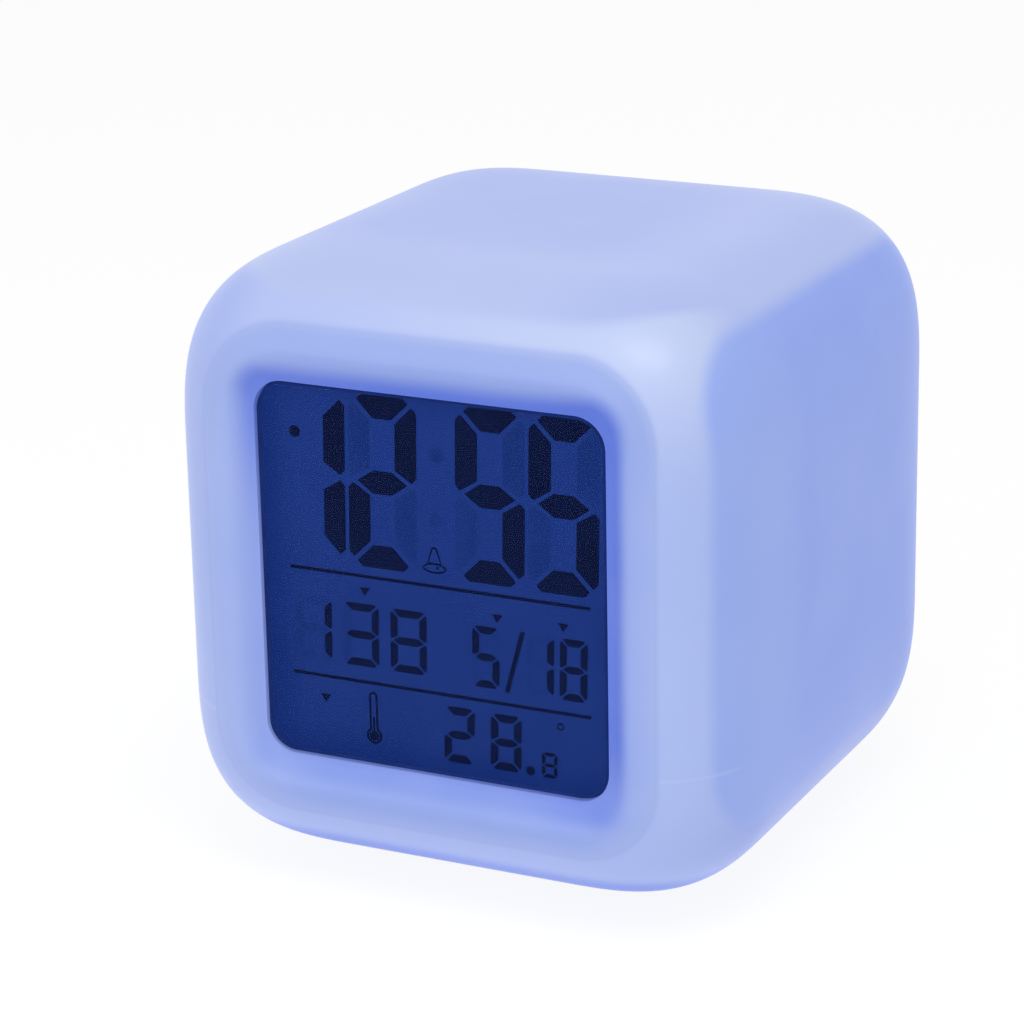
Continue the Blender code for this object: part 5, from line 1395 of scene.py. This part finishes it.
finishes = (
    moulded("white inner plastic", "#dfe2ea", "#e8ebf1", 0.5),
    moulded("button plastic", "#c6cde0", "#d2d8e8", 0.42),
    moulded("black switch plastic", "#1b1c20", "#232429", 0.5),
    moulded("soft rubber", "#2c2d31", "#37383c", 0.8, 0.2, 0.015),
    moulded("sealing resin", "#15161a", "#1e2025", 0.22, 2.5, 0.05),
    moulded("ribbon insulation", "#97989d", "#a5a6ab", 0.6, 0.4, 0.01),
    moulded("black lead insulation", "#1d1d20", "#29292c", 0.5, 0.4, 0.01),
    moulded("red lead insulation", "#a61f22", "#b32a2b", 0.5, 0.4, 0.01),
    metal("nickel plated steel", "#b9babf", "#d2d3d7", 0.22),
    metal("cell sleeve", "#3a3e45", "#40444c", 0.34),
    metal("grey green sleeve", "#5c8f86", "#659a90", 0.34),
    circuit_board("upright circuit board", "Z"),
    circuit_board("level circuit board", "Y"),
    glowing("milky cover plastic", "#ced6f3", "#bdc9f1", 0.13, 16),
    glowing("glowing sheet", "#b9c9fb", "#93aaf8", 0.7, 12),
    glowing("lamp resin", "#8fa6ff", "#5f7dfa", 1.0, 3),
    striped_rubber("striped rubber"),
)
FINISHES = {finish.name: finish for finish in finishes}
STEEL = FINISHES["nickel plated steel"]
BLACK = FINISHES["black switch plastic"]
print("finishes:", sorted(FINISHES))

# %% Dress the nodes that keep their shape
NODE_FINISHES = {
    "light_sheet": "glowing sheet",
    "rubber_connector": "striped rubber",
    "main_board": "upright circuit board",
    "button_board": "upright circuit board",
    "lamp_board": "level circuit board",
    "snooze_plunger": "black switch plastic",
    "light_switch": "black switch plastic",
    "button_plunger": "black switch plastic",
}
for node_name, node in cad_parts.items():
    stem = node_name.rstrip("0123456789").rstrip("_")
    node.data.materials.clear()
    node.data.materials.append(FINISHES[NODE_FINISHES.get(stem, "white inner plastic")])
print("nodes dressed:", len(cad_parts))

# %% Dress the new pieces
for piece, finish, body, slot, node_name in (
    (cover, "milky cover plastic", "housing", "cover_plastic", "rear_cover"),
    (door, "milky cover plastic", "battery_door", "cover_plastic", "battery_door"),
    (knob, "button plastic", "light_switch_knob", "button_plastic", "light_switch_knob"),
    (base, "white inner plastic", "base", "inner_plastic", "base_plate"),
    (chip, "sealing resin", "housing", "switch_plastic", "controller_chip"),
    (sounder, "black switch plastic", "housing", "switch_plastic", "sounder"),
    (ribbon, "ribbon insulation", "housing", "lead_insulation", "ribbon_lead"),
):
    dress(piece, [FINISHES[finish]], body, slot, node_name)
for pieces, finish, body, slot, node_stem in (
    (buttons, "button plastic", "button_", "button_plastic", "button_cap_"),
    (lamps, "lamp resin", "housing", "lamp_resin", "lamp_"),
    (feet, "soft rubber", "base", "rubber", "foot_"),
    (springs, "nickel plated steel", "base", "plated_steel", "base_spring_"),
    (contacts, "nickel plated steel", "housing", "plated_steel", "battery_contact_"),
):
    for number, piece in enumerate(pieces, 1):
        own_body = body + str(number) if body.endswith("_") else body
        dress(piece, [FINISHES[finish]], own_body, slot, node_stem + str(number))
for node_name, piece in screws.items():
    dress(piece, [STEEL], "housing", "plated_steel", node_name)
for node_name, piece in switches.items():
    dress(piece, [BLACK, STEEL], "housing", "switch_plastic", node_name)
    if node_name == "snooze_switch":
        share_out(piece, lambda centre, normal: snooze_top - centre.z > SWITCH_PLATE)
    else:
        share_out(piece, lambda centre, normal: centre.y - SWITCH_FOOT > SWITCH_PLATE)

lead_colours = [FINISHES["black lead insulation"], FINISHES["red lead insulation"]]
dress(lead, lead_colours, "housing", "lead_insulation", "battery_lead")
for face in lead.data.polygons:
    face.material_index = int(face.index < len(lead.data.polygons) // 2)
for number, (piece, level, direction) in enumerate(zip(cells, CELL_LEVELS, CELL_DIRECTIONS), 1):
    sleeves = [FINISHES["cell sleeve"], STEEL, FINISHES["grey green sleeve"]]
    dress(piece, sleeves, "housing", "cell_can", f"battery_cell_{number}")
    for face in piece.data.polygons:
        x, y, z = face.center / MM
        bare = math.hypot(y - CELL_Y, z - level) < CELL_SLEEVE_END
        face.material_index = 1 if bare else 2 * int(x * direction > CELL_BAND)
for piece in springs:
    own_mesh(piece)
print("pieces dressed")

# %% [markdown]
# ## Floor, light and background
# The photograph has a plain white ground and very soft light, mostly from above and a little from
# the right. A white floor and a white world give that. The camera sees both as plain white through
# Light Path, while the light on the clock stays low enough for colours to look as they are written.

# %% Floor
def seen_straight(tree):
    """1 where the camera looks straight, by a mirror or through something clear, else 0."""
    rays = add_node(tree, "ShaderNodeLightPath").outputs
    mirrored = maths("MAXIMUM", rays["Is Glossy Ray"], rays["Is Transmission Ray"])
    return maths("MAXIMUM", rays["Is Camera Ray"], mirrored)


FLOOR_SHADOW = 0.12
floor = start(bpy.ops.mesh.primitive_plane_add, "floor", size=6, location=(0, 0, -0.05 * MM))
floor_paint, tree, shader = new_finish("white floor", Base_Color=linear("#f8f9fb"), Roughness=0.9)
plain_white = add_node(tree, "ShaderNodeEmission", {"Color": linear("#ffffff"), "Strength": 1.03})
share = maths("MULTIPLY", seen_straight(tree), 1 - FLOOR_SHADOW)
mixed = add_node(tree, "ShaderNodeMixShader", {0: share, 1: shader.outputs[0], 2: plain_white.outputs[0]})
put(mixed.outputs[0], tree.nodes["Material Output"].inputs[0])
floor.data.materials.append(floor_paint)
floor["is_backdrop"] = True
print("floor:", in_mm(floor.dimensions))

# %% World and lamps
WORLD_LIGHT = 0.40
bpy.context.scene.view_settings.view_transform = "Standard"
world = bpy.data.worlds.new("studio")
bpy.context.scene.world = world
world.use_nodes = True
sky = world.node_tree.nodes["Background"]
strength = fade(seen_straight(world.node_tree), 0.0, 1.0, WORLD_LIGHT, 1.0)
feed(sky, Color=(1, 1, 1, 1), Strength=strength)


def softbox(name, place, size, power):
    """A square area lamp that looks at the clock."""
    bpy.ops.object.light_add(type="AREA", location=place)
    made = bpy.context.object
    made.name = name
    made.data.size = size
    made.data.energy = power
    made.rotation_euler = (VIEW_AIM - Vector(place)).to_track_quat("-Z", "Y").to_euler()
    return name


softboxes = (
    softbox("overhead softbox", (0.21, -0.34, 0.84), 0.42, 4.0),
    softbox("front softbox", (-0.35, -0.9, 0.45), 0.6, 2.2),
)
print("lamps:", softboxes)

# %% Measure the size and finish
low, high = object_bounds()
print("visual size in mm:", in_mm(high - low))
